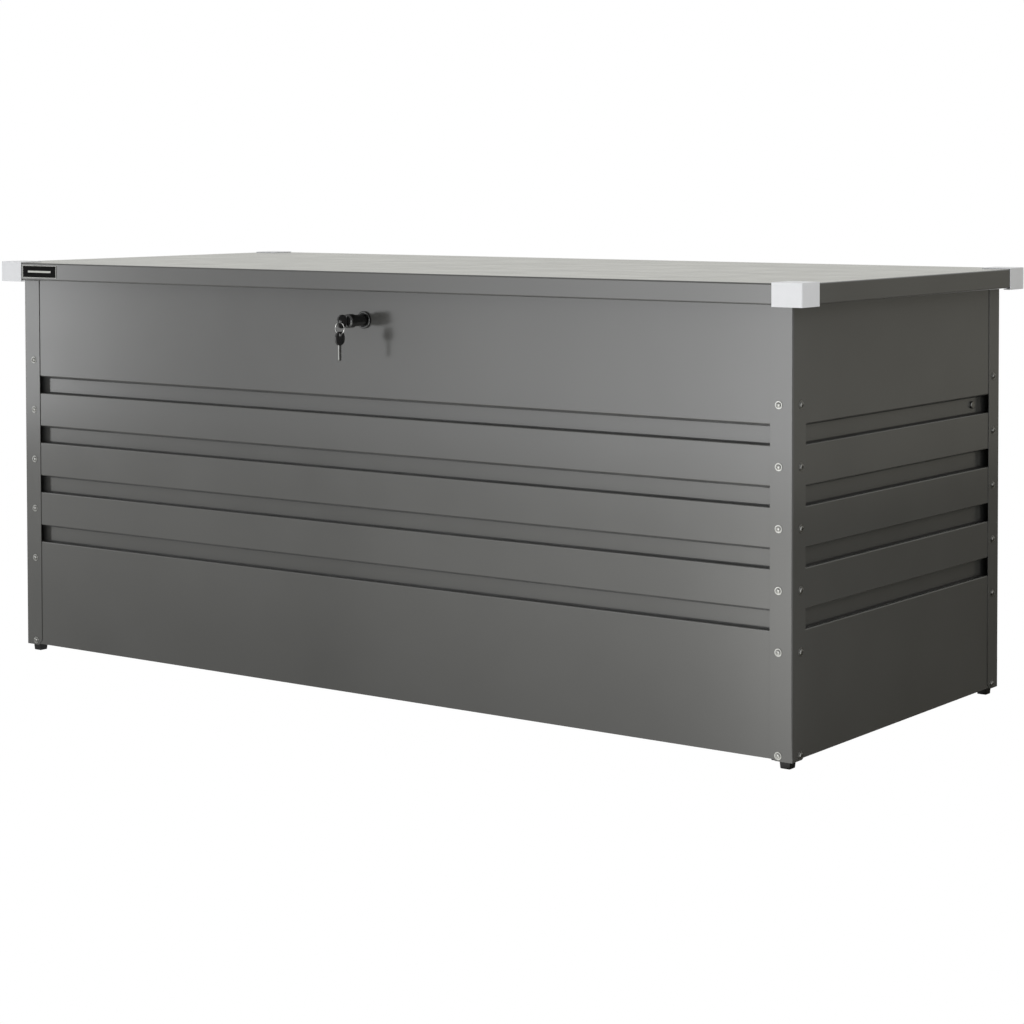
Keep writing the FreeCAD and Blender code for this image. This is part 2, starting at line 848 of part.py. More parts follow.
def keeper():
    """Hook under the middle stiffener; the turned cam holds its lip down."""
    y0 = lock_end_y + cam_t + keeper_behind
    x0 = cam_width / 2 + keeper_beside
    x1 = x0 + keeper_width
    low = lock_height - cam_width / 2 - keeper_below
    top = body_top + stiffener_gap
    strap = box(x0, y0, low, x1, y0 + bracket_t, top)
    lip = box(x0, lock_end_y - keeper_before, low, x1, y0, low + bracket_t)
    foot_plate = box(x0, y0, top - bracket_t, x1, y0 + keeper_foot, top)
    return fuse([strap, lip, foot_plate])


def key():
    """Key along Y, its bow ending at 0: the bow with its round hole, and the blade in it."""
    w = key_bow_width / 2
    t = key_bow_t / 2
    bow = box(-t, -key_bow_length, -w, t, 0, w)
    corners = [e for e in bow.Edges if abs(e.CenterOfMass.x) < 1e-6]
    bow = bow.makeFillet(key_bow_corner, corners)
    bow = bow.cut(hole(key_hole_r, Vector(0, key_hole_edge - key_bow_length, 0), X))
    blade = box(-key_blade_t / 2, -key_root, -key_blade_w / 2, key_blade_t / 2,
                key_slot_depth - key_tip_gap, key_blade_w / 2)
    return bow.cut(blade), blade


def inserted_key():
    pieces = key()
    for piece in pieces:
        piece.translate(Vector(0, bow_end_y, lock_height))
    return pieces


def wire_drop():
    """How far a hanging piece sinks before wire and hole meet, less the gap between them."""
    return key_hole_r - ring_wire_r - key_ring_gap


def key_ring():
    """Wire ring through the bow's hole, hanging below it, square to the bow."""
    centre = Vector(0, bow_hole_y, lock_height - wire_drop() - ring_r)
    return Part.makeTorus(ring_r, ring_wire_r, centre, Y)


def spare_key():
    """Second key, hanging blade down from the bottom of the ring."""
    hole_z = lock_height - 2 * wire_drop() - 2 * ring_r
    lift = key_bow_length - key_hole_edge
    pieces = key()
    for piece in pieces:
        piece.rotate(Vector(0, 0, 0), X, -90)
        piece.translate(Vector(0, bow_hole_y, hole_z - lift))
    return pieces


right_post = post()
for place, shape in four_corners(right_post).items():
    save(shape, "post_" + place)
for place, shape in four_corners(foot()).items():
    save(shape, "foot_" + place)

front = drill_at(front_wall(), rivet_r, wall_rivet_axes())
back = drill_at(mirror_y(front), rivet_r, wall_leaf_rivet_axes())
front = front.cut(hole(barrel_r + lock_hole_gap, lock_point(-wall_y), Y))
side = drill_at(side_wall(), rivet_r, wall_rivet_axes())
save(front, "wall_front")
save(back, "wall_back")
save(side, "wall_right")
save(mirror_x(side), "wall_left")

rail = front_rail()
end_rail = side_rail()
save(rail, "rail_front")
save(mirror_y(rail), "rail_back")
save(end_rail, "rail_right")
save(mirror_x(end_rail), "rail_left")
rivets = [rivet(at, inward, wall_sheet + rail_sheet) for at, inward in wall_rivet_axes()]
save(group(rivets), "rail_rivets")

floor_right = floor_panel()
save(floor_right, "floor_right")
save(mirror_x(floor_right), "floor_left")
save(group([bearer(x) for x in bearer_stations()]), "floor_bearers")

screws = []
nuts = []
for at, inward in corner_screw_axes():
    screws.append(screw(at, inward))
    if at.z > screw_low:
        nuts.append(nut(at + inward * (post_sheet + wall_sheet), inward))
for node, items in (("post_screws", screws), ("post_nuts", nuts)):
    placed = []
    for item in items:
        placed.extend(four_corners(item).values())
    save(group(placed), node)

save(drill_at(lid_skin(), rivet_r, lid_leaf_rivet_axes()), "lid_skin")
for place, shape in four_corners(lid_cap()).items():
    save(shape, "cap_" + place)
save(group([lid_stiffener(x) for x in stiffener_stations()]), "lid_stiffeners")
save(badge(), "badge_plate")
save(group([wall_leaf(x) for x in hinge_stations()]), "hinge_wall_leaves")
save(group([lid_leaf(x) for x in hinge_stations()]), "hinge_lid_leaves")
save(group([hinge_pin(x) for x in hinge_stations()]), "hinge_pins")
rivets = [rivet(at, inward, leaf_t + wall_sheet) for at, inward in wall_leaf_rivet_axes()]
save(group(rivets), "hinge_wall_rivets")
rivets = [rivet(at, inward, leaf_t + lid_sheet) for at, inward in lid_leaf_rivet_axes()]
save(group(rivets), "hinge_lid_rivets")

foot_at, head_at, along = strut_ends()
for place, flip in (("right", False), ("left", True)):
    for node, shape in (("strut_stud", strut_stud()), ("strut_tube", strut_tube()),
                        ("strut_tube_socket", socket(foot_at, along, True)),
                        ("strut_rod", strut_rod()),
                        ("strut_rod_socket", socket(head_at, along * -1, False)),
                        ("strut_lid_bracket", lid_bracket())):
        save(mirror_x(shape) if flip else shape, node + "_" + place)

save(lock_body(), "lock_body")
save(lock_nut(), "lock_nut")
save(lock_plug(), "lock_plug")
save(lock_cam(), "lock_cam")
save(cam_screw(), "cam_screw")
save(keeper(), "lid_keeper")
save(key_ring(), "key_ring")
for place, pieces in (("inserted", inserted_key()), ("spare", spare_key())):
    save(pieces[0], "key_bow_" + place)
    save(pieces[1], "key_blade_" + place)
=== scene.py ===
import bpy
import bmesh
import math
import random
from mathutils import Matrix, Vector


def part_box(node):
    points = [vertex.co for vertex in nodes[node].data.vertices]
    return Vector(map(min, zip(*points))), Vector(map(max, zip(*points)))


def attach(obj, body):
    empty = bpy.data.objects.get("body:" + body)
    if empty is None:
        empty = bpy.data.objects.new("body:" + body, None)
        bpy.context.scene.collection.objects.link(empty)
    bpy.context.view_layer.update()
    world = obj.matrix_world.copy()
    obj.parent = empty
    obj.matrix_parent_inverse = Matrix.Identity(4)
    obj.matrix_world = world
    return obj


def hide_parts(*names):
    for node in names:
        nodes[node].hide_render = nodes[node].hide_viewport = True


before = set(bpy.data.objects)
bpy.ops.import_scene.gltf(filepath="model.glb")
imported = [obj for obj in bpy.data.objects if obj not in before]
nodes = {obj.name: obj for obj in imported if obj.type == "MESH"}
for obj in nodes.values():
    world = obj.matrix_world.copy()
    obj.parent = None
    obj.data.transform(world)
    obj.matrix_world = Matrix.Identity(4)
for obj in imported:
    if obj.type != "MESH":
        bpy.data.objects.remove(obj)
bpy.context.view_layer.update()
scene = bpy.context.scene
mm = 0.001
tiny = 1e-6  # metres; points closer than this count as one
past = 1.0  # metres that a cutter runs past an open side

# pieces are drawn about the middle of the posts, then moved to the frame by this much
toFrame = Vector((0, (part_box("post_front_right")[0][1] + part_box("post_back_right")[1][1]) / 2, 0))


def nodeBox(name):
    low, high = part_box(name)
    return Vector(low) - toFrame, Vector(high) - toFrame


# small helpers
def toLinear(hexCode):
    # sRGB hex to linear colour
    parts = [int(hexCode[i:i + 2], 16) / 255 for i in (1, 3, 5)]
    return [p / 12.92 if p <= 0.04045 else ((p + 0.055) / 1.055) ** 2.4 for p in parts] + [1.0]


def addNode(tree, kind, settings=None, links=None):
    # settings: property or input name to value; links: input name to output socket
    node = tree.nodes.new(kind)
    for key, value in (settings or {}).items():
        if isinstance(key, int) or key in node.inputs:
            node.inputs[key].default_value = value
        else:
            setattr(node, key, value)
    for key, source in (links or {}).items():
        tree.links.new(source, node.inputs[key])
    return node


def newMaterial(name):
    mat = bpy.data.materials.new(name)
    mat.use_nodes = True
    tree = mat.node_tree
    tree.nodes.clear()
    out = addNode(tree, "ShaderNodeOutputMaterial")
    shader = addNode(tree, "ShaderNodeBsdfPrincipled")
    tree.links.new(shader.outputs[0], out.inputs["Surface"])
    coords = addNode(tree, "ShaderNodeTexCoord")
    return mat, tree, shader, coords.outputs["Object"]


def mixColours(tree, factor, low, high):
    node = addNode(tree, "ShaderNodeMix", {"data_type": "RGBA"})
    tree.links.new(factor, node.inputs["Factor"])
    node.inputs[6].default_value = toLinear(low)
    node.inputs[7].default_value = toLinear(high)
    return node.outputs[2]


def mapRange(tree, value, low, high, fromLow=0.0, fromHigh=1.0):
    node = addNode(tree, "ShaderNodeMapRange", {"From Min": fromLow, "From Max": fromHigh,
                                                "To Min": low, "To Max": high}, {"Value": value})
    return node.outputs[0]


def noise(tree, coords, sizeMm, detail=3.0, rough=0.5, stretch=(1, 1, 1)):
    # one noise cell is about sizeMm wide
    scaled = addNode(tree, "ShaderNodeMapping", {"Scale": stretch}, {"Vector": coords})
    node = addNode(tree, "ShaderNodeTexNoise", {"Scale": 1000.0 / sizeMm, "Detail": detail,
                                                "Roughness": rough},
                   {"Vector": scaled.outputs[0]})
    return node.outputs["Fac"]


def addBump(tree, shader, height, distance, below=None):
    # distance in metres; below is the normal of a bump that this one lies on
    node = addNode(tree, "ShaderNodeBump", {"Strength": 1.0, "Distance": distance},
                   {"Height": height})
    if below:
        tree.links.new(below, node.inputs["Normal"])
    tree.links.new(node.outputs[0], shader.inputs["Normal"])
    return node.outputs[0]


# materials
# sizes of the coat's pattern in millimetres, depths in metres; orange peel cells are really 1 to
# 2 mm wide and are drawn at 5 mm so that they show
coatPattern = {"mottle": 260.0, "haze": 90.0, "ripple": 320.0, "rippleDepth": 0.4 * mm,
               "peel": 5.0, "peelDepth": 0.01 * mm}


def coatedSteel(name, low, high, roughLow, roughHigh):
    # semi-gloss polyester powder coat on thin sheet: orange peel, slow ripple, faint mottling
    s = coatPattern
    mat, tree, shader, coords = newMaterial(name)
    mottle = noise(tree, coords, s["mottle"], 2.0)
    tree.links.new(mixColours(tree, mapRange(tree, mottle, 0, 1, 0.3, 0.7), low, high),
                   shader.inputs["Base Color"])
    haze = noise(tree, coords, s["haze"], 4.0, 0.6)
    tree.links.new(mapRange(tree, haze, roughLow, roughHigh, 0.3, 0.7),
                   shader.inputs["Roughness"])
    shader.inputs["Specular IOR Level"].default_value = 0.5
    ripple = noise(tree, coords, s["ripple"], 0.0)
    peel = noise(tree, coords, s["peel"], 2.0)
    first = addBump(tree, shader, ripple, s["rippleDepth"])
    addBump(tree, shader, peel, s["peelDepth"], first)
    return mat


def zincPlate(name):
    # zinc plate, barrel plated: even grey metal with fine grain and cloudy passivation
    cloudMm, grainMm, grainDepth = 3.0, 0.4, 0.01 * mm
    mat, tree, shader, coords = newMaterial(name)
    cloud = noise(tree, coords, cloudMm, 3.0)
    tree.links.new(mixColours(tree, cloud, "#6A6A68", "#8E8E8B"), shader.inputs["Base Color"])
    shader.inputs["Metallic"].default_value = 1.0
    tree.links.new(mapRange(tree, cloud, 0.22, 0.42), shader.inputs["Roughness"])
    addBump(tree, shader, noise(tree, coords, grainMm, 2.0), grainDepth)
    return mat


def mouldedPlastic(name, low, high, rough, grainMm, depth, specular=0.5):
    # injection-moulded plastic with an eroded texture and slight gloss changes
    toneMm, roughSpread = 18.0, 0.06
    mat, tree, shader, coords = newMaterial(name)
    tone = noise(tree, coords, toneMm, 3.0)
    tree.links.new(mixColours(tree, tone, low, high), shader.inputs["Base Color"])
    tree.links.new(mapRange(tree, tone, rough - roughSpread, rough + roughSpread),
                   shader.inputs["Roughness"])
    shader.inputs["Specular IOR Level"].default_value = specular
    addBump(tree, shader, noise(tree, coords, grainMm, 2.0), depth)
    return mat


def brushedMetal(name, low, high, rough, stretch):
    # rolled or turned metal: fine lines along one way
    lineMm, lineDepth, roughSpread = 0.5, 0.008 * mm, 0.08
    mat, tree, shader, coords = newMaterial(name)
    lines = noise(tree, coords, lineMm, 2.0, 0.6, stretch)
    tree.links.new(mixColours(tree, lines, low, high), shader.inputs["Base Color"])
    shader.inputs["Metallic"].default_value = 1.0
    tree.links.new(mapRange(tree, lines, rough - roughSpread, rough + roughSpread),
                   shader.inputs["Roughness"])
    addBump(tree, shader, lines, lineDepth)
    return mat


coat = coatedSteel("anthracitePowderCoat", "#3F3F3D", "#444442", 0.14, 0.18)
# painted shade: a near-black coat for groove edges and groove ends, standing in for the shadow there
paintedShadeCoat = coatedSteel("coatInGrooveCorners", "#121211", "#1A1A19", 0.55, 0.7)
innerCoat = coatedSteel("anthraciteInnerCoat", "#3E3E3C", "#444442", 0.24, 0.34)
zinc = zincPlate("brightZincPlate")
capPlastic = mouldedPlastic("silverCapPlastic", "#C6C7C9", "#CECFD1", 0.42, 0.9, 0.000015)
blackPlastic = mouldedPlastic("blackFootPlastic", "#060606", "#0C0C0C", 0.5, 0.8, 0.00002, 0.2)
bowPlastic = mouldedPlastic("keyBowPlastic", "#121212", "#1B1B1B", 0.28, 0.6, 0.000008)
lockGloss = mouldedPlastic("lockBlackPlate", "#080808", "#101010", 0.2, 0.5, 0.000004)
lockFace = brushedMetal("lockFaceZinc", "#1E1E1E", "#2A2A2A", 0.4, (1, 12, 1))
strutPaint = coatedSteel("strutBlackPaint", "#0E0E0E", "#141414", 0.3, 0.38)
rodChrome = brushedMetal("polishedRodChrome", "#D0D0D0", "#E6E6E6", 0.14, (1, 1, 8))
keySteel = brushedMetal("keyNickelSteel", "#6E6E6C", "#8C8C8A", 0.3, (1, 1, 6))
wireSteel = brushedMetal("ringNickelWire", "#A8A8A6", "#C4C4C2", 0.18, (3, 3, 3))
badgeBlack = mouldedPlastic("badgeSatinBlack", "#050505", "#0A0A0A", 0.5, 0.5, 0.000006, 0.03)
badgeBorder = brushedMetal("badgeBorderAluminium", "#7C7C79", "#94948F", 0.45, (8, 1, 1))
print("materials done")


# mesh helpers
def weighted(obj):
    # flat faces keep their own normals and the narrow bends between them take up the turn
    scene.collection.objects.link(obj)
    mod = obj.modifiers.new("flats", "WEIGHTED_NORMAL")
    mod.keep_sharp = True
    mod.weight = 90  # large faces count for much more than small ones
    bpy.context.view_layer.update()
    deps = bpy.context.evaluated_depsgraph_get()
    mesh = bpy.data.meshes.new_from_object(obj.evaluated_get(deps))
    old = obj.data
    obj.modifiers.clear()
    obj.data = mesh
    bpy.data.meshes.remove(old)
    mesh.name = obj.name
    return obj


def finishPiece(name, obj, mats, body, replaced, sharp=32):
    # evaluates modifiers into one plain mesh at the origin and hands it to the frame
    bpy.context.view_layer.update()
    deps = bpy.context.evaluated_depsgraph_get()
    mesh = bpy.data.meshes.new_from_object(obj.evaluated_get(deps))
    mesh.transform(Matrix.Translation(toFrame) @ obj.matrix_world)
    bpy.data.objects.remove(obj)
    mesh.name = name
    if mats and not (len(mesh.materials) and mesh.materials[0]):
        mesh.materials.clear()
        for m in mats:
            mesh.materials.append(m)
    for poly in mesh.polygons:
        poly.use_smooth = True
    mesh.set_sharp_from_angle(angle=math.radians(sharp))
    piece = weighted(bpy.data.objects.new(name, mesh))
    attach(piece, body)
    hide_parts(*replaced)


def rawObject(name, verts, faces):
    mesh = bpy.data.meshes.new(name)
    mesh.from_pydata([tuple(v) for v in verts], [], faces)
    bm = bmesh.new()
    bm.from_mesh(mesh)
    bmesh.ops.recalc_face_normals(bm, faces=bm.faces)
    bm.to_mesh(mesh)
    bm.free()
    obj = bpy.data.objects.new(name, mesh)
    scene.collection.objects.link(obj)
    return obj


def joinObjects(name, objs):
    # one object from several, each keeping its material slots
    bm = bmesh.new()
    mats = []
    for obj in objs:
        bpy.context.view_layer.update()
        deps = bpy.context.evaluated_depsgraph_get()
        mesh = bpy.data.meshes.new_from_object(obj.evaluated_get(deps))
        mesh.transform(obj.matrix_world)
        remap = {}
        for i, m in enumerate(mesh.materials):
            if m not in mats:
                mats.append(m)
            remap[i] = mats.index(m)
        start = len(bm.faces)
        bm.from_mesh(mesh)
        bm.faces.ensure_lookup_table()
        for face in bm.faces[start:]:
            face.material_index = remap.get(face.material_index, 0)
        bpy.data.meshes.remove(mesh)
        bpy.data.objects.remove(obj)
    mesh = bpy.data.meshes.new(name)
    bm.to_mesh(mesh)
    bm.free()
    for m in mats:
        mesh.materials.append(m)
    obj = bpy.data.objects.new(name, mesh)
    scene.collection.objects.link(obj)
    return obj


def paint(obj, mat):
    obj.data.materials.clear()
    obj.data.materials.append(mat)
    return obj


def bevelled(obj, width, segments=3, limit=30):
    mod = obj.modifiers.new("bevel", "BEVEL")
    mod.width = width
    mod.segments = segments
    mod.limit_method = "ANGLE"
    mod.angle_limit = math.radians(limit)
    mod.use_clamp_overlap = True
    return obj


def cutWith(obj, cutter):
    # takes the cutter out of the object at once
    mod = obj.modifiers.new("cut", "BOOLEAN")
    mod.operation = "DIFFERENCE"
    mod.solver = "EXACT"
    mod.object = cutter
    bpy.context.view_layer.update()
    deps = bpy.context.evaluated_depsgraph_get()
    mesh = bpy.data.meshes.new_from_object(obj.evaluated_get(deps))
    old = obj.data
    obj.modifiers.clear()
    obj.data = mesh
    bpy.data.meshes.remove(old)
    bpy.data.objects.remove(cutter)
    return obj


def boxObject(name, low, high):
    x0, y0, z0 = low
    x1, y1, z1 = high
    verts = [(x, y, z) for x in (x0, x1) for y in (y0, y1) for z in (z0, z1)]
    faces = [(0, 1, 3, 2), (4, 6, 7, 5), (0, 4, 5, 1), (2, 3, 7, 6), (0, 2, 6, 4), (1, 5, 7, 3)]
    return rawObject(name, verts, faces)


def lathed(name, profile, start, axis, segments=48):
    # profile: (distance along the axis, radius); closed by caps where the radius is not 0
    axis = Vector(axis).normalized()
    side = axis.orthogonal().normalized()
    other = axis.cross(side)
    verts = []
    faces = []
    rings = []
    for along, radius in profile:
        centre = Vector(start) + axis * along
        if radius < tiny:
            rings.append([len(verts)])
            verts.append(centre)
            continue
        ring = []
        for i in range(segments):
            a = 2 * math.pi * i / segments
            ring.append(len(verts))
            verts.append(centre + (side * math.cos(a) + other * math.sin(a)) * radius)
        rings.append(ring)
    for a, b in zip(rings, rings[1:]):
        for i in range(segments):
            j = (i + 1) % segments
            if len(a) == 1 and len(b) == 1:
                continue
            if len(a) == 1:
                faces.append((a[0], b[i], b[j]))
            elif len(b) == 1:
                faces.append((a[j], a[i], b[0]))
            else:
                faces.append((a[i], b[i], b[j], a[j]))
    if len(rings[0]) > 1:
        faces.append(tuple(rings[0]))
    if len(rings[-1]) > 1:
        faces.append(tuple(reversed(rings[-1])))
    return rawObject(name, verts, faces)


def bentOutline(path, thickness, radius, steps=6):
    # closed outline of a bent sheet; material to the right of the path, left if negative
    near = []
    far = []
    pts = [Vector(p) for p in path]
    last = len(pts) - 1
    for i, p in enumerate(pts):
        if i in (0, last):
            d = (pts[1] - pts[0]) if i == 0 else (pts[last] - pts[last - 1])
            d.normalize()
            near.append(p)
            far.append(p + Vector((d.y, -d.x)) * thickness)
            continue
        before = (p - pts[i - 1]).normalized()
        after = (pts[i + 1] - p).normalized()
        turn = before.x * after.y - before.y * after.x
        angle = math.acos(max(-1, min(1, before.dot(after))))
        inside = (turn > 0) == (thickness < 0)
        faceR = radius + abs(thickness) if inside else radius
        otherR = radius if inside else radius + abs(thickness)
        sign = 1 if turn > 0 else -1
        side = Vector((-before.y, before.x)) * sign
        centre = p - before * faceR * math.tan(angle / 2) + side * faceR
        for k in range(steps + 1):
            a = sign * angle * k / steps
            arm = -side
            spun = Vector((arm.x * math.cos(a) - arm.y * math.sin(a),
                           arm.x * math.sin(a) + arm.y * math.cos(a)))
            near.append(centre + spun * faceR)
            far.append(centre + spun * otherR)
    return near + list(reversed(far))


def extruded(name, outline, place, stations):
    # place(u, v, s) gives the 3D point at station s
    count = len(outline)
    verts = []
    faces = []
    for s in stations:
        verts.extend(place(p[0], p[1], s) for p in outline)
    for k in range(len(stations) - 1):
        base = k * count
        for i in range(count):
            j = (i + 1) % count
            faces.append((base + i, base + j, base + count + j, base + count + i))
    # ends as quads between the two faces of the sheet
    half = count // 2
    for base in (0, (len(stations) - 1) * count):
        for i in range(half - 1):
            faces.append((base + i, base + i + 1, base + count - 2 - i, base + count - 1 - i))
    return rawObject(name, verts, faces)


def mirrored(name, obj, mx=1, my=1):
    copy = obj.copy()
    copy.data = obj.data.copy()
    copy.name = name
    copy.data.transform(Matrix.Diagonal((mx, my, 1, 1)))
    if mx * my < 0:
        copy.data.flip_normals()
    scene.collection.objects.link(copy)
    return copy


# walls
postLow, postHigh = nodeBox("post_front_right")
wallLow, wallHigh = nodeBox("wall_front")
sideLow, sideHigh = nodeBox("wall_right")
halfX, halfY = postHigh[0], -postLow[1]
# the wall table also sizes the painted shade bands at the groove edges and beside the posts
wallSettings = {"sheet": 0.8 * mm, "post": 1.2 * mm, "bend": 0.9 * mm, "grooves": 4,
                "pitch": 89.5 * mm, "height": 29 * mm, "undercut": 2.5 * mm, "first": 498.7 * mm,
                "shadeLow": 1.6 * mm, "shadeHigh": 3.4 * mm, "shadeEnd": 5 * mm, "floor": 0.8,
                "spansLong": 12, "spansShort": 8}


def grooveEdges(i):
    # lower and upper edge of a groove, counted from the top one
    s = wallSettings
    high = s["first"] - s["pitch"] * i
    return high - s["height"], high


def wallPath(low, top, depth):
    s = wallSettings
    path = [(0, low)]
    for i in reversed(range(s["grooves"])):
        lower, high = grooveEdges(i)
        path += [(0, lower), (depth, lower - s["undercut"]), (depth, high + s["undercut"]),
                 (0, high)]
    path.append((0, top))
    return path


def spread(low, high, count):
    return [low + (high - low) * i / count for i in range(count + 1)]


wallFaceY = halfY - wallSettings["post"]
wallFaceX = halfX - wallSettings["post"]
grooveDepth = wallHigh[1] + wallFaceY - wallSettings["sheet"]
outline = bentOutline(wallPath(wallLow[2], wallHigh[2], grooveDepth), wallSettings["sheet"],
                      wallSettings["bend"])


def paintGrooveShade(wall):
    # paints shade: the edges of each groove floor and the groove ends beside the posts get a dark
    # coat where a real groove lies in shadow; floor is the share of the depth past which a face
    # counts as groove floor
    s = wallSettings
    bands = []
    for i in range(s["grooves"]):
        lower, high = grooveEdges(i)
        bands += [(lower - s["undercut"], lower + s["shadeLow"]),
                  (high - s["shadeHigh"], high + s["undercut"])]
    bm = bmesh.new()
    bm.from_mesh(wall.data)
    for low, high in bands:
        for z in (low, high):
            bmesh.ops.bisect_plane(bm, geom=bm.verts[:] + bm.edges[:] + bm.faces[:],
                                   plane_co=(0, 0, z), plane_no=(0, 0, 1))
    endX = postLow[0] - s["shadeEnd"]
    endY = -postHigh[1] - s["shadeEnd"]
    for place, normal in ((endX, (1, 0, 0)), (-endX, (1, 0, 0)), (endY, (0, 1, 0)),
                          (-endY, (0, 1, 0))):
        bmesh.ops.bisect_plane(bm, geom=bm.verts[:] + bm.edges[:] + bm.faces[:],
                               plane_co=Vector(normal) * place, plane_no=normal)
    alongX = min(v.co.x for v in bm.verts) < 0
    for face in bm.faces:
        centre = face.calc_center_median()
        depth = wallFaceY - abs(centre.y) if alongX else wallFaceX - abs(centre.x)
        inBand = any(low < centre.z < high for low, high in bands)
        atEnd = abs(centre.x) > endX if alongX else abs(centre.y) > endY
        deep = depth > grooveDepth * s["floor"]
        # deep faces in a band or at an end take the painted shade
        face.material_index = 1 if (inBand or atEnd) and deep else 0
    bm.to_mesh(wall.data)
    bm.free()
    for mat in (coat, paintedShadeCoat):
        wall.data.materials.append(mat)
    return wall


frontWall = extruded("frontWall", outline, lambda u, v, s: (s, u - wallFaceY, v),
                     spread(wallLow[0], wallHigh[0], wallSettings["spansLong"]))
frontWall = paintGrooveShade(frontWall)
backWall = mirrored("backWall", frontWall, 1, -1)
sideWall = extruded("rightWall", outline, lambda u, v, s: (wallFaceX - u, s, v),
                    spread(sideLow[1], sideHigh[1], wallSettings["spansShort"]))
sideWall = paintGrooveShade(sideWall)
leftWall = mirrored("leftWall", sideWall, -1, 1)
for node, obj in (("wall_front", frontWall), ("wall_back", backWall), ("wall_right", sideWall),
                  ("wall_left", leftWall)):
    finishPiece(node + "_sheet", obj, [], "box", [node])
print("walls done")


# corner posts
postSettings = {"sheet": 1.2 * mm, "bend": 1.6 * mm, "chamfer": 9 * mm, "edge": 0.25 * mm}


def makePost():
    s = postSettings
    x0, x1 = postLow[0], postHigh[0]
    y0, y1 = postLow[1], postHigh[1]
    path = [(x1, y1), (x1, y0), (x0, y0)]
    shape = bentOutline(path, s["sheet"], s["bend"], 10)
    post = extruded("post", shape, lambda u, v, t: (u, v, t), [postLow[2], postHigh[2]])
    bm = bmesh.new()
    bm.from_mesh(post.data)
    for point, normal in (((x0 + s["chamfer"], 0, postLow[2]), (-1, 0, -1)),
                          ((0, y1 - s["chamfer"], postLow[2]), (0, 1, -1))):
        cut = bmesh.ops.bisect_plane(bm, geom=bm.verts[:] + bm.edges[:] + bm.faces[:],
                                     plane_co=point, plane_no=normal, clear_outer=True)
        bmesh.ops.holes_fill(bm, edges=[e for e in cut["geom_cut"]
                                        if isinstance(e, bmesh.types.BMEdge)])
    bmesh.ops.recalc_face_normals(bm, faces=bm.faces)
    bm.to_mesh(post.data)
    bm.free()
    return bevelled(post, s["edge"], 2, 40)


post = makePost()
places = {"front_right": (1, 1), "front_left": (-1, 1), "back_right": (1, -1),
          "back_left": (-1, -1)}
for place, (mx, my) in places.items():
    finishPiece("cornerPost_" + place, mirrored("post_" + place, post, mx, my), [coat], "box",
                ["post_" + place])
bpy.data.objects.remove(post)


# feet
footLow, footHigh = nodeBox("foot_front_right")
footSettings = {"size": 18 * mm, "inset": 8 * mm, "taper": 1 * mm, "edge": 1.1 * mm,
                "blockEdge": 0.8 * mm}


def makeFoot():
    s = footSettings
    x1 = halfX - s["inset"]
    y0 = -halfY + s["inset"]
    top = postLow[2]
    x0, y1, t = x1 - s["size"], y0 + s["size"], s["taper"]
    verts = [(x0 + t, y0 + t, 0), (x1 - t, y0 + t, 0), (x1 - t, y1 - t, 0), (x0 + t, y1 - t, 0),
             (x0, y0, top), (x1, y0, top), (x1, y1, top), (x0, y1, top)]
    faces = [(0, 3, 2, 1), (4, 5, 6, 7), (0, 1, 5, 4), (1, 2, 6, 5), (2, 3, 7, 6), (3, 0, 4, 7)]
    pad = bevelled(rawObject("pad", verts, faces), s["edge"], 3)
    block = boxObject("block", (footLow[0], footLow[1], top), footHigh)
    return joinObjects("foot", [pad, bevelled(block, s["blockEdge"], 2)])


foot = makeFoot()
for place, (mx, my) in places.items():
    finishPiece("footPad_" + place, mirrored("foot_" + place, foot, mx, my), [blackPlastic],
                "box", ["foot_" + place])
bpy.data.objects.remove(foot)
print("posts and feet done")


# screws
screwSettings = {"washerR": 6 * mm, "washerT": 0.8 * mm, "headR": 4.1 * mm, "headH": 2.4 * mm,
                 "shankR": 2 * mm, "length": 10 * mm, "recess": 1.0 * mm, "recessL": 4.4 * mm,
                 "recessDepth": 1.3 * mm, "fromEdge": 23.4 * mm, "lowest": 20 * mm,
                 "firstUp": 170.3 * mm, "pitch": 89.5 * mm, "rows": 5, "seed": 7,
                 "washerSoft": 0.1 * mm, "washerTop": 0.2 * mm, "washerIn": 0.25 * mm,
                 "rimH": 0.25 * mm, "rimR": 0.98, "domeFrom": 0.5 * mm, "domeSteps": 8,
                 "domeFlat": 0.8, "tip": 0.6 * mm, "tipR": 0.7, "over": 1 * mm}


def makeScrew():
    # washer against the sheet, domed head with a cross recess; the shank points along -Z
    s = screwSettings
    t, r, h = s["washerT"], s["headR"], s["headH"]
    soft, rim, start = s["washerSoft"], s["washerR"], s["domeFrom"]
    washer = lathed("washer", [(0, rim - soft), (soft, rim), (t - s["washerTop"], rim),
                               (t, rim - s["washerIn"]), (t, 0)], (0, 0, 0), (0, 0, 1), 40)
    dome = [(t, r * s["rimR"]), (t + s["rimH"], r)]
    for i in range(1, s["domeSteps"] + 1):
        a = math.pi / 2 * i / s["domeSteps"]
        dome.append((t + start + (h - start) * math.sin(a), r * math.cos(a) ** s["domeFlat"]))
    dome[-1] = (t + h, 0)
    head = lathed("head", dome, (0, 0, 0), (0, 0, 1), 40)
    for turn in (0, 1):
        w, l = s["recess"] / 2, s["recessL"] / 2
        a, b = (w, l) if turn else (l, w)
        cutter = boxObject("slot", (-a, -b, t + h - s["recessDepth"]), (a, b, t + h + s["over"]))
        head = cutWith(head, cutter)
    shank = lathed("shank", [(0, s["shankR"]), (s["length"] - s["tip"], s["shankR"]),
                             (s["length"], s["shankR"] * s["tipR"])], (0, 0, 0), (0, 0, -1), 20)
    return joinObjects("screwPiece", [washer, head, shank])


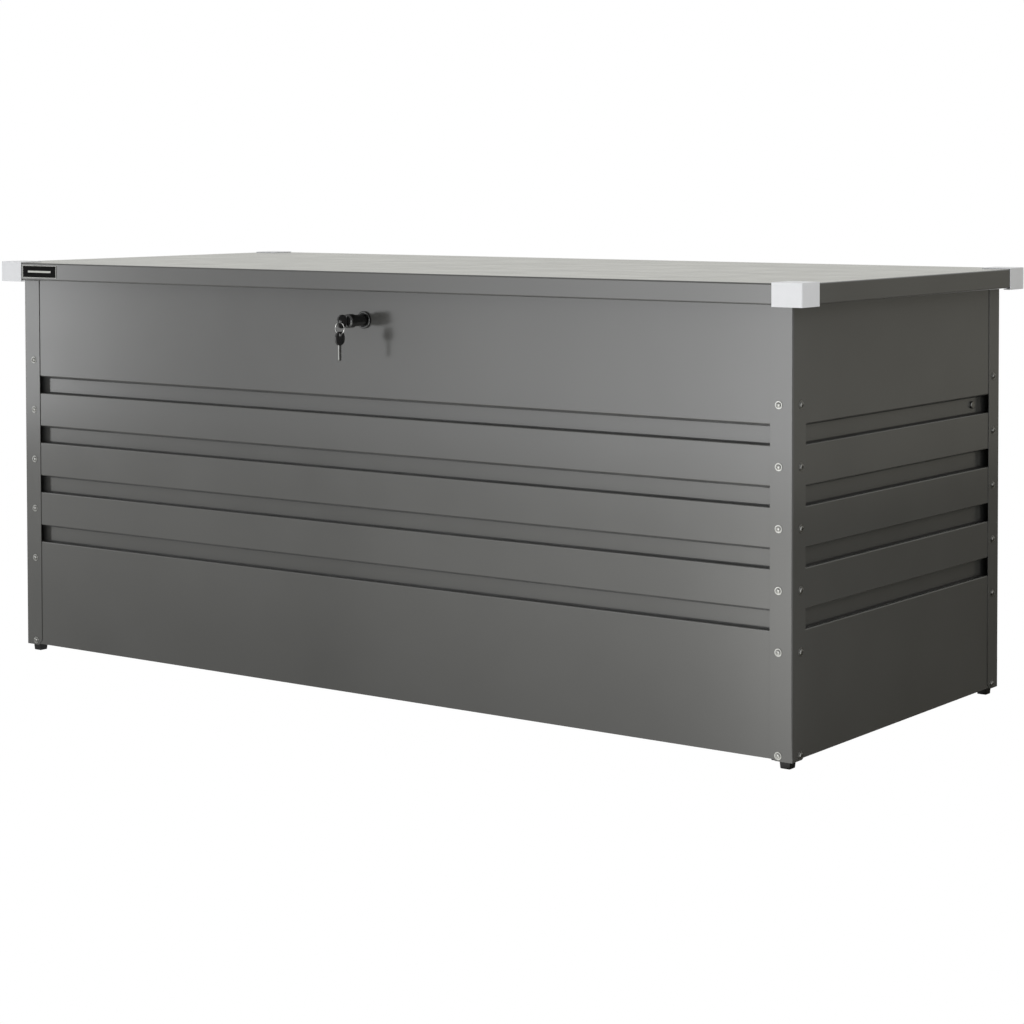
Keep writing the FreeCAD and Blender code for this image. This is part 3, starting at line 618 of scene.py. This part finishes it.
def scatter(name, prototype, points, normals, mat, seed, body, replaced):
    # instances the prototype at each point with its +Z along the normal and a random turn
    mesh = bpy.data.meshes.new(name + "Points")
    mesh.from_pydata([tuple(p) for p in points], [], [])
    data = mesh.attributes.new("facing", "FLOAT_VECTOR", "POINT")
    for i, n in enumerate(normals):
        data.data[i].vector = n
    host = bpy.data.objects.new(name + "Host", mesh)
    scene.collection.objects.link(host)
    tree = bpy.data.node_groups.new(name + "Scatter", "GeometryNodeTree")
    made = {}
    tree.interface.new_socket("Geometry", in_out="INPUT", socket_type="NodeSocketGeometry")
    for label, kind in (("Piece", "NodeSocketObject"), ("Largest turn", "NodeSocketFloat"),
                        ("Seed", "NodeSocketInt"), ("Finish", "NodeSocketMaterial")):
        made[label] = tree.interface.new_socket(label, in_out="INPUT", socket_type=kind)
    tree.interface.new_socket("Geometry", in_out="OUTPUT", socket_type="NodeSocketGeometry")
    start = addNode(tree, "NodeGroupInput")
    end = addNode(tree, "NodeGroupOutput")
    info = addNode(tree, "GeometryNodeObjectInfo", {}, {"Object": start.outputs["Piece"]})
    facing = addNode(tree, "GeometryNodeInputNamedAttribute",
                     {"data_type": "FLOAT_VECTOR", "Name": "facing"})
    aim = addNode(tree, "FunctionNodeAlignRotationToVector", {"axis": "Z"},
                  {"Vector": facing.outputs["Attribute"]})
    turn = addNode(tree, "FunctionNodeRandomValue", {"data_type": "FLOAT"})
    tree.links.new(start.outputs["Largest turn"], turn.inputs[3])
    tree.links.new(start.outputs["Seed"], turn.inputs["Seed"])
    spin = addNode(tree, "FunctionNodeAxisAngleToRotation", {"Axis": (0, 0, 1)},
                   {"Angle": turn.outputs[1]})
    both = addNode(tree, "FunctionNodeRotateRotation", {"rotation_space": "LOCAL"},
                   {"Rotation": aim.outputs[0], "Rotate By": spin.outputs[0]})
    put = addNode(tree, "GeometryNodeInstanceOnPoints", {},
                  {"Points": start.outputs["Geometry"], "Instance": info.outputs["Geometry"],
                   "Rotation": both.outputs[0]})
    real = addNode(tree, "GeometryNodeRealizeInstances", {}, {"Geometry": put.outputs[0]})
    finish = addNode(tree, "GeometryNodeSetMaterial", {},
                     {"Geometry": real.outputs[0], "Material": start.outputs["Finish"]})
    tree.links.new(finish.outputs[0], end.inputs[0])
    mod = host.modifiers.new(name, "NODES")
    mod.node_group = tree
    for label, value in (("Piece", prototype), ("Largest turn", math.pi), ("Seed", seed),
                         ("Finish", mat)):
        mod[made[label].identifier] = value
    bpy.context.view_layer.update()
    finishPiece(name, host, [mat], body, replaced)
    bpy.data.objects.remove(prototype)


def postScrewPlaces():
    s = screwSettings
    edge = s["fromEdge"]
    heights = [s["lowest"]] + [s["firstUp"] + s["pitch"] * i for i in range(s["rows"])]
    points = []
    normals = []
    for sx in (-1, 1):
        for sy in (-1, 1):
            for z in heights:
                points.append((sx * (halfX - edge), sy * halfY, z))
                normals.append((0, sy, 0))
                points.append((sx * halfX, sy * (halfY - edge), z))
                normals.append((sx, 0, 0))
    return points, normals


points, normals = postScrewPlaces()
scatter("postScrews", makeScrew(), points, normals, zinc, screwSettings["seed"], "box",
        ["post_screws"])
print("screws done")


# lid
lidLow, lidHigh = nodeBox("lid_skin")
lidSettings = {"sheet": 0.8 * mm, "bend": 1.8 * mm, "return": 8 * mm, "edge": 6 * mm,
               "spansLong": 16, "spansShort": 8}


def makeLid():
    s = lidSettings
    lx, ly, low, top = lidHigh[0], lidHigh[1], lidLow[2], lidHigh[2]
    r, t, e = s["return"], s["sheet"], s["edge"]
    across = [(-ly + r, low), (-ly, low), (-ly, top), (ly, top), (ly, low)]
    main = extruded("main", bentOutline(across, t, s["bend"], 8), lambda u, v, q: (q, u, v),
                    spread(-lx + e, lx - e, s["spansLong"]))
    ends = []
    for side in (1, -1):
        path = [(lx - r, low), (lx, low), (lx, top), (lx - e, top)]
        piece = extruded("end", bentOutline(path, -t, s["bend"], 8),
                         lambda u, v, q: (side * u, q, v),
                         spread(-ly + e, ly - e, s["spansShort"]))
        ends.append(piece)
    return joinObjects("lid", [main] + ends)


finishPiece("lidSkin", makeLid(), [coat], "lid", ["lid_skin"])


# corner caps
capLow, capHigh = nodeBox("cap_front_right")
capSettings = {"wall": 1.2 * mm, "corner": 2 * mm, "edge": 0.6 * mm, "lip": 11 * mm}


def makeCap():
    s = capSettings
    w = s["wall"]
    x0, y0, z0 = capLow
    x1, y1 = capHigh[:2]
    shell = boxObject("cap", capLow, capHigh)
    bm = bmesh.new()
    bm.from_mesh(shell.data)
    upright = [e for e in bm.edges if all(abs(v.co.x - x1) < tiny and abs(v.co.y - y0) < tiny
                                          for v in e.verts)]
    bmesh.ops.bevel(bm, geom=upright, offset=s["corner"], segments=10, affect="EDGES",
                    profile=0.5)
    bm.to_mesh(shell.data)
    bm.free()
    shell = bevelled(shell, s["edge"], 4, 40)
    # both cutters run out past the open sides
    inner = boxObject("inner", (x0 - past, y0 + w, z0 + w), (x1 - w, y1 + past, lidHigh[2]))
    shell = cutWith(shell, inner)
    under = boxObject("under", (x0 - past, y0 + w + s["lip"], z0 - past),
                      (x1 - w - s["lip"], y1 + past, z0 + 2 * w))
    return cutWith(shell, under)


cap = makeCap()
for place, (mx, my) in places.items():
    finishPiece("cornerCap_" + place, mirrored("cap_" + place, cap, mx, my), [capPlastic],
                "lid", ["cap_" + place])
bpy.data.objects.remove(cap)
print("lid and caps done")


# badge
badgeLow, badgeHigh = nodeBox("badge_plate")
badgeSettings = {"border": 0.9 * mm, "sink": 0.35 * mm, "edge": 0.2 * mm, "barL": 58 * mm,
                 "barH": 3.4 * mm, "step": 0.1 * mm, "faceAt": 0.6}


def makeBadge():
    s = badgeSettings
    x0, y0, z0 = badgeLow
    x1, z1 = badgeHigh[0], badgeHigh[2]
    b = s["border"]
    plate = paint(bevelled(boxObject("plate", badgeLow, badgeHigh), s["edge"], 2), badgeBorder)
    cutter = boxObject("sunk", (x0 + b, y0 - past, z0 + b), (x1 - b, y0 + s["sink"], z1 - b))
    plate = cutWith(plate, cutter)
    face = boxObject("face", (x0 + b, y0 + s["sink"] * s["faceAt"], z0 + b),
                     (x1 - b, y0 + s["sink"] + s["step"], z1 - b))
    # a plain bar across the middle
    middleX, middleZ = (x0 + x1) / 2, (z0 + z1) / 2
    bar = boxObject("bar", (middleX - s["barL"] / 2, y0 + s["step"], middleZ - s["barH"] / 2),
                    (middleX + s["barL"] / 2, y0 + s["sink"], middleZ + s["barH"] / 2))
    return joinObjects("badge", [plate, paint(face, badgeBlack), paint(bar, badgeBorder)])


finishPiece("badgePlate", makeBadge(), [], "lid", ["badge_plate"])
print("badge done")


# lock
lockLow, lockHigh = nodeBox("lock_body")
plugLow, plugHigh = nodeBox("lock_plug")
lockZ = (lockLow[2] + lockHigh[2]) / 2
lockSettings = {"rosetteR": 14 * mm, "rosetteT": 4 * mm, "neckR": 9.4 * mm, "dish": 1.6 * mm,
                "rim": 3.2 * mm, "knobR": 11.2 * mm, "knobL": 15 * mm, "plugR": 6 * mm,
                "slotW": 7 * mm, "slotT": 2.4 * mm, "slotDepth": 3 * mm, "soft": 0.3 * mm,
                "lipDrop": 1.2 * mm, "lipMid": 0.5 * mm, "lipIn": 1.1 * mm, "lipInner": 0.4 * mm,
                "proud": 0.02 * mm, "neckChamfer": 0.8 * mm, "tailChamfer": 0.5 * mm,
                "knobGap": 0.3 * mm, "knobBack": (0.8 * mm, 0.6 * mm),
                # the knob's rounded front: along the axis, in from its rim
                "knobFront": ((0, 2.6 * mm), (0.25 * mm, 2.2 * mm), (0.9 * mm, 0.7 * mm),
                              (1.9 * mm, 0))}


def makeLockBody():
    s = lockSettings
    face = -wallFaceY
    out = (0, -1, 0)
    r, t = s["rosetteR"], s["rosetteT"]
    inner = r - s["rim"]
    soft, mid = s["soft"], s["lipMid"]
    rosette = lathed("rosette", [(0, r), (t - s["lipDrop"], r), (t - mid, r - soft),
                                 (t, r - s["lipIn"]), (t, inner + mid),
                                 (t - s["lipInner"], inner), (t - s["dish"], inner - soft)],
                     (0, face, lockZ), out, 72)
    start = t - s["dish"]
    dish = lathed("dish", [(start - soft, inner), (start + s["proud"], inner)],
                  (0, face, lockZ), out, 72)
    end = face - lockLow[1]
    neck = lathed("neck", [(start, s["neckR"]), (end - s["neckChamfer"], s["neckR"]),
                           (end, s["neckR"] - s["neckChamfer"])], (0, face, lockZ), out, 56)
    back, chamfer = lockHigh[1] - face, s["tailChamfer"]
    tail = lathed("tail", [(0, s["neckR"]), (back - chamfer, s["neckR"]),
                           (back, s["neckR"] - chamfer)], (0, face, lockZ), (0, 1, 0), 48)
    return joinObjects("lockBody", [paint(rosette, lockGloss), paint(dish, lockFace),
                                    paint(neck, lockGloss), paint(tail, zinc)])


def makeLockPlug():
    s = lockSettings
    front = plugLow[1]
    out = (0, 1, 0)
    r, l = s["knobR"], s["knobL"] - s["knobGap"]
    backL, backR = s["knobBack"]
    profile = [(0, 0)] + [(along, r - inward) for along, inward in s["knobFront"]]
    profile += [(l - backL, r), (l, r - backR), (l, 0)]
    knob = lathed("knob", profile, (0, front, lockZ), out, 72)
    slot = boxObject("slot", (-s["slotT"] / 2, front - past, lockZ - s["slotW"] / 2),
                     (s["slotT"] / 2, front + s["slotDepth"], lockZ + s["slotW"] / 2))
    knob = cutWith(knob, slot)
    core = lathed("core", [(l, s["plugR"]), (plugHigh[1] - front, s["plugR"])],
                  (0, front, lockZ), out, 40)
    return joinObjects("plug", [paint(knob, lockGloss), paint(core, zinc)])


finishPiece("lockBody", makeLockBody(), [], "box", ["lock_body"])
finishPiece("lockKnob", makeLockPlug(), [], "lock_plug", ["lock_plug"])
print("lock done")


# keys and ring
keySettings = {"bowL": 22 * mm, "bowW": 22 * mm, "bowT": 3 * mm, "corner": 9.5 * mm,
               "holeR": 2.8 * mm, "holeEdge": 5.6 * mm, "root": 5 * mm, "bladeW": 6 * mm,
               "bladeT": 1.8 * mm, "edge": 0.48 * mm,
               "cuts": (0.5, 0.9, 1.3, 1.7), "cutPitch": 2.9 * mm, "seed": 5,
               "notch": (0.7 * mm, 1.5 * mm, 2.1 * mm), "shoulder": 1.5 * mm,
               "firstCut": 3 * mm, "lastCut": 4 * mm, "tipL": 2 * mm, "tipDrop": 2.2 * mm,
               "tipLowL": 1.2 * mm, "tipRise": 1.6 * mm, "grooveFrom": 0.5 * mm,
               "grooveLow": -1.4 * mm, "grooveHigh": -0.2 * mm, "grooveDepth": 0.45 * mm,
               "holeReach": 5 * mm, "grooveOut": 0.1 * mm, "grooveOver": 1 * mm}


def makeKey(bladeLength):
    # bow along Y, ending at 0, with its hole near the far end, blade to +Y
    s = keySettings
    t, w = s["bowT"] / 2, s["bowW"] / 2
    bow = boxObject("bow", (-t, -s["bowL"], -w), (t, 0, w))
    bm = bmesh.new()
    bm.from_mesh(bow.data)
    corners = [e for e in bm.edges if abs(e.verts[0].co.x - e.verts[1].co.x) > t]
    bmesh.ops.bevel(bm, geom=corners, offset=s["corner"], segments=10, affect="EDGES",
                    profile=0.5)
    bm.to_mesh(bow.data)
    bm.free()
    hole = lathed("hole", [(-s["holeReach"], s["holeR"]), (s["holeReach"], s["holeR"])],
                  (0, -s["bowL"] + s["holeEdge"], 0), (1, 0, 0), 40)
    bow = bevelled(cutWith(bow, hole), s["edge"], 3, 40)
    half, width = s["bladeT"] / 2, s["bladeW"] / 2
    rng = random.Random(s["seed"])
    top = [(-s["root"], width), (s["shoulder"], width)]
    down, level, up = s["notch"]
    x = s["firstCut"]
    while x < bladeLength - s["lastCut"]:
        depth = rng.choice(s["cuts"]) * mm
        top += [(x, width), (x + down, width - depth), (x + level, width - depth),
                (x + up, width)]
        x += s["cutPitch"]
    top += [(bladeLength - s["tipL"], width), (bladeLength, width - s["tipDrop"])]
    low = [(bladeLength, -width + s["tipRise"]), (bladeLength - s["tipLowL"], -width),
           (-s["root"], -width)]
    outline = top + low
    count = len(outline)
    verts = [(-half, y, z) for y, z in outline] + [(half, y, z) for y, z in outline]
    faces = [tuple(range(count)), tuple(reversed(range(count, 2 * count)))]
    faces += [(i, (i + 1) % count, count + (i + 1) % count, count + i) for i in range(count)]
    blade = rawObject("blade", verts, faces)
    for side in (-1, 1):
        a, b = sorted((side * (half + s["grooveOut"]), side * (half - s["grooveDepth"])))
        groove = boxObject("groove", (a, s["grooveFrom"], s["grooveLow"]),
                           (b, bladeLength + s["grooveOver"], s["grooveHigh"]))
        blade = cutWith(blade, groove)
    return paint(bow, bowPlastic), paint(blade, keySteel)


def placeKey(suffix, body, bladeLength, matrix):
    bow, blade = makeKey(bladeLength)
    for piece, node, slotName in ((bow, "key_bow_" + suffix, "black_plastic"),
                                  (blade, "key_blade_" + suffix, "key_steel")):
        piece.data.transform(matrix)
        finishPiece(node + "_piece", piece, [], body, [node])


bowEnd = nodeBox("key_bow_inserted")[1][1]
placeKey("inserted", "key", nodeBox("key_blade_inserted")[1][1] - bowEnd,
         Matrix.Translation((0, bowEnd, lockZ)))
spareLow, spareHigh = nodeBox("key_bow_spare")
spareY = (spareLow[1] + spareHigh[1]) / 2
placeKey("spare", "spare_key", spareLow[2] - nodeBox("key_blade_spare")[0][2],
         Matrix.Translation((0, spareY, spareLow[2])) @ Matrix.Rotation(-math.pi / 2, 4, "X"))

ringLow, ringHigh = nodeBox("key_ring")
ringSettings = {"wire": 0.46 * mm, "turns": 1.94, "start": 0.4, "inside": 0.8 * mm,
                "steps": 150, "sides": 10}


def makeRing():
    # split ring: nearly two turns of wire lying side by side
    s = ringSettings
    centre = (ringLow + ringHigh) / 2
    radius = (ringHigh[0] - ringLow[0]) / 2 - s["inside"]
    verts = []
    faces = []
    for i in range(s["steps"] + 1):
        q = i / s["steps"]
        a = 2 * math.pi * s["turns"] * q + s["start"]
        shift = (q - 0.5) * 2 * s["wire"] * 1.02
        out = Vector((math.cos(a), 0, math.sin(a)))
        for k in range(s["sides"]):
            b = 2 * math.pi * k / s["sides"]
            verts.append(centre + out * (radius + s["wire"] * math.cos(b))
                         + Vector((0, shift + s["wire"] * math.sin(b), 0)))
    n = s["sides"]
    for i in range(s["steps"]):
        for k in range(n):
            m = (k + 1) % n
            faces.append((i * n + k, i * n + m, (i + 1) * n + m, (i + 1) * n + k))
    faces.append(tuple(range(n)))
    faces.append(tuple(reversed(range(s["steps"] * n, s["steps"] * n + n))))
    return rawObject("ring", verts, faces)


finishPiece("splitRing", makeRing(), [wireSteel], "key_ring", ["key_ring"])
print("keys done")


# finishes on the frame's own pieces
finishes = {
    innerCoat: ["rail_front", "rail_back", "rail_left", "rail_right", "floor_left",
                "floor_right", "floor_bearers", "lid_stiffeners", "hinge_wall_leaves",
                "hinge_lid_leaves", "strut_lid_bracket_left", "strut_lid_bracket_right",
                "lid_keeper"],
    zinc: ["rail_rivets", "post_nuts", "hinge_wall_rivets", "hinge_lid_rivets", "hinge_pins",
           "strut_stud_left", "strut_stud_right", "cam_screw", "lock_cam", "lock_nut"],
    strutPaint: ["strut_tube_left", "strut_tube_right"],
    blackPlastic: ["strut_tube_socket_left", "strut_tube_socket_right",
                   "strut_rod_socket_left", "strut_rod_socket_right"],
    rodChrome: ["strut_rod_left", "strut_rod_right"],
}
for mat, names in finishes.items():
    for name in names:
        nodes[name].data.materials.clear()
        nodes[name].data.materials.append(mat)
print("finishes done")


# camera; its place is from the middle of the posts in metres, its angles are in degrees
cameraSettings = {"lens": 88.095, "position": (2.58438, -3.46573, 0.85790),
                  "turn": 36.563, "tilt": -2.147, "roll": -0.1136,
                  "shift": (0.01570, -0.23633), "sensor": 36, "clip": (0.05, 200)}


def makeCamera():
    s = cameraSettings
    turn, tilt, roll = (math.radians(s[k]) for k in ("turn", "tilt", "roll"))
    ahead = Vector((-math.sin(turn) * math.cos(tilt), math.cos(turn) * math.cos(tilt),
                    math.sin(tilt)))
    right = Vector((math.cos(turn), math.sin(turn), 0))
    up = right.cross(ahead)
    r = right * math.cos(roll) + up * math.sin(roll)
    u = up * math.cos(roll) - right * math.sin(roll)
    data = bpy.data.cameras.new("camera")
    data.lens = s["lens"]
    data.sensor_width = s["sensor"]
    data.shift_x, data.shift_y = s["shift"]
    data.clip_start, data.clip_end = s["clip"]
    cam = bpy.data.objects.new("camera", data)
    matrix = Matrix((r, u, -ahead)).transposed().to_4x4()
    matrix.translation = Vector(s["position"]) + toFrame
    cam.matrix_world = matrix
    scene.collection.objects.link(cam)
    scene.camera = cam


makeCamera()


# stage; panelY is the front wall's face, clothY the mirrored cloth in front of it
studio = {"panelY": -wallFaceY + toFrame.y, "clothY": -3.3, "clothTop": 1.0, "left": -7.0,
          "floorEnd": 0.9, "clothEnd": 1.4, "peak": 7.0, "fade": 1.3, "wide": 30.0,
          "nearGlow": 0.6, "backCloth": ((-14, 6), (14, 6), 0, 3), "sideFloor": (3.5, 6.0),
          "sideFlag": ((2.3, 0.5), (2.3, 8.0), 0, 2.4), "white": "#FFFFFF", "world": 1.0,
          # how far the cards lie below the floor, and how far one reaches under the wall
          "bounceDown": 2 * mm, "mirrorDown": 1 * mm, "sideDown": 0.5 * mm, "sideUnder": 20 * mm}
plainGlow = {"bounce": ("#FFFFFF", 0.98), "back": ("#FBFBF5", 0.8),
             "sideFloor": ("#C8C2B2", 0.2), "sideFlag": ("#DAD6C8", 0.5)}
# place along the front wall in metres, and how bright the card is that is mirrored there
floorStops = ((-0.8, 1.5), (-0.6, 1.25), (-0.1, 1.15), (0.1, 1.5), (0.3, 1.75), (0.5, 2.1),
              (0.62, 2.5), (0.7, 3.2), (0.8, 4.6))
clothStops = ((-0.8, 5.8), (-0.7, 4.5), (-0.58, 2.7), (-0.45, 2.05), (-0.3, 1.95), (-0.1, 1.95),
              (0.1, 2.6), (0.3, 3.35), (0.5, 4.1), (0.7, 5.0), (0.8, 6.4))


def glowing(name, colour, strength):
    mat = bpy.data.materials.new(name)
    mat.use_nodes = True
    tree = mat.node_tree
    tree.nodes.clear()
    out = addNode(tree, "ShaderNodeOutputMaterial")
    lamp = addNode(tree, "ShaderNodeEmission", {"Color": toLinear(colour), "Strength": strength})
    tree.links.new(lamp.outputs[0], out.inputs["Surface"])
    return mat, tree, lamp


def gradedGlow(name, colour, stops, near=1.0):
    # a card graded from end to end, laid out by the place on the front wall that mirrors it
    # in the main view; near is how bright it is left close to the wall
    mat, tree, lamp = glowing(name, colour, 1.0)
    cameraX = cameraSettings["position"][0]
    reach = studio["panelY"] - cameraSettings["position"][1] - toFrame.y
    coords = addNode(tree, "ShaderNodeTexCoord")
    parts = addNode(tree, "ShaderNodeSeparateXYZ", {}, {0: coords.outputs["Object"]})

    def calc(operation, a, b):
        node = addNode(tree, "ShaderNodeMath", {"operation": operation})
        for slot, value in enumerate((a, b)):
            if isinstance(value, float):
                node.inputs[slot].default_value = value
            else:
                tree.links.new(value, node.inputs[slot])
        return node.outputs[0]

    away = calc("SUBTRACT", studio["panelY"], parts.outputs["Y"])
    place = calc("DIVIDE", calc("ADD", calc("MULTIPLY", parts.outputs["X"], reach),
                                calc("MULTIPLY", away, cameraX)), calc("ADD", away, reach))
    ramp = addNode(tree, "ShaderNodeValToRGB", {},
                   {0: mapRange(tree, place, 0.0, 1.0, -halfX, halfX)})
    points = ramp.color_ramp.elements
    points.remove(points[1])
    for i, (x, glow) in enumerate(stops):
        at = (x + halfX) / (2 * halfX)
        point = points[0] if i == 0 else points.new(at)
        point.position = at
        level = glow / studio["peak"]
        point.color = (level, level, level, 1)
    dim = mapRange(tree, away, near, 1.0, 0.0, studio["fade"])
    tree.links.new(calc("MULTIPLY", calc("MULTIPLY", ramp.outputs[0], studio["peak"]), dim),
                   lamp.inputs["Strength"])
    return mat


def card(name, corners, mat, camera=False, diffuse=False, glossy=False):
    # a flat panel of the studio, seen only by the rays named
    plane = rawObject(name, corners, [(0, 1, 2, 3)])
    plane.data.materials.append(mat)
    plane.visible_camera = camera
    plane.visible_diffuse = diffuse
    plane.visible_glossy = glossy
    plane.visible_transmission = False
    plane.visible_shadow = False


def floorCorners(x0, y0, x1, y1, z):
    return [(x0, y0, z), (x1, y0, z), (x1, y1, z), (x0, y1, z)]


def wallCorners(a, b, low, high):
    return [(a[0], a[1], low), (b[0], b[1], low), (b[0], b[1], high), (a[0], a[1], high)]


wide, left, clothY, panelY = (studio[k] for k in ("wide", "left", "clothY", "panelY"))
card("studioFloor", floorCorners(-wide, -wide, wide, wide, 0),
     glowing("paleStudioFloor", studio["white"], 1.0)[0], camera=True)
card("bounceFloor", floorCorners(-wide, -wide, wide, wide, -studio["bounceDown"]),
     glowing("bounceFloorPaper", *plainGlow["bounce"])[0], diffuse=True)
card("mirroredFloor", floorCorners(left, clothY, studio["floorEnd"], panelY,
                                   -studio["mirrorDown"]),
     gradedGlow("mirroredFloorPaper", "#FFFFFC", floorStops, studio["nearGlow"]), glossy=True)
card("mirroredCloth", wallCorners((studio["clothEnd"], clothY), (left, clothY), 0,
                                  studio["clothTop"]),
     gradedGlow("mirroredSoftboxCloth", "#FDFEFF", clothStops), glossy=True)
card("backCloth", wallCorners(*studio["backCloth"]),
     glowing("backClothGrey", *plainGlow["back"])[0], glossy=True)
card("sideFloor", floorCorners(wallFaceX - studio["sideUnder"], panelY, *studio["sideFloor"],
                               -studio["sideDown"]),
     glowing("sideFloorPaper", *plainGlow["sideFloor"])[0], diffuse=True, glossy=True)
card("sideFlag", wallCorners(*studio["sideFlag"]),
     glowing("sideFlagPaper", *plainGlow["sideFlag"])[0], diffuse=True, glossy=True)

world = bpy.data.worlds.new("studioWorld")
world.use_nodes = True
background = world.node_tree.nodes["Background"]
background.inputs["Color"].default_value = toLinear(studio["white"])
background.inputs["Strength"].default_value = studio["world"]
scene.world = world
scene.view_settings.view_transform = "Standard"


softbox = {"at": (3.4, -1.4, 2.3), "aim": (0.6, 0, 0.4), "size": (1.6, 1.2), "power": 12}


def makeSoftbox():
    data = bpy.data.lights.new("sideSoftbox", "AREA")
    data.energy = softbox["power"]
    data.shape = "RECTANGLE"
    data.size, data.size_y = softbox["size"]
    light = bpy.data.objects.new("sideSoftbox", data)
    light.location = softbox["at"]
    ahead = Vector(softbox["aim"]) - Vector(softbox["at"])
    light.rotation_euler = ahead.to_track_quat("-Z", "Y").to_euler()
    light.visible_camera = False
    scene.collection.objects.link(light)


makeSoftbox()
print("stage done")
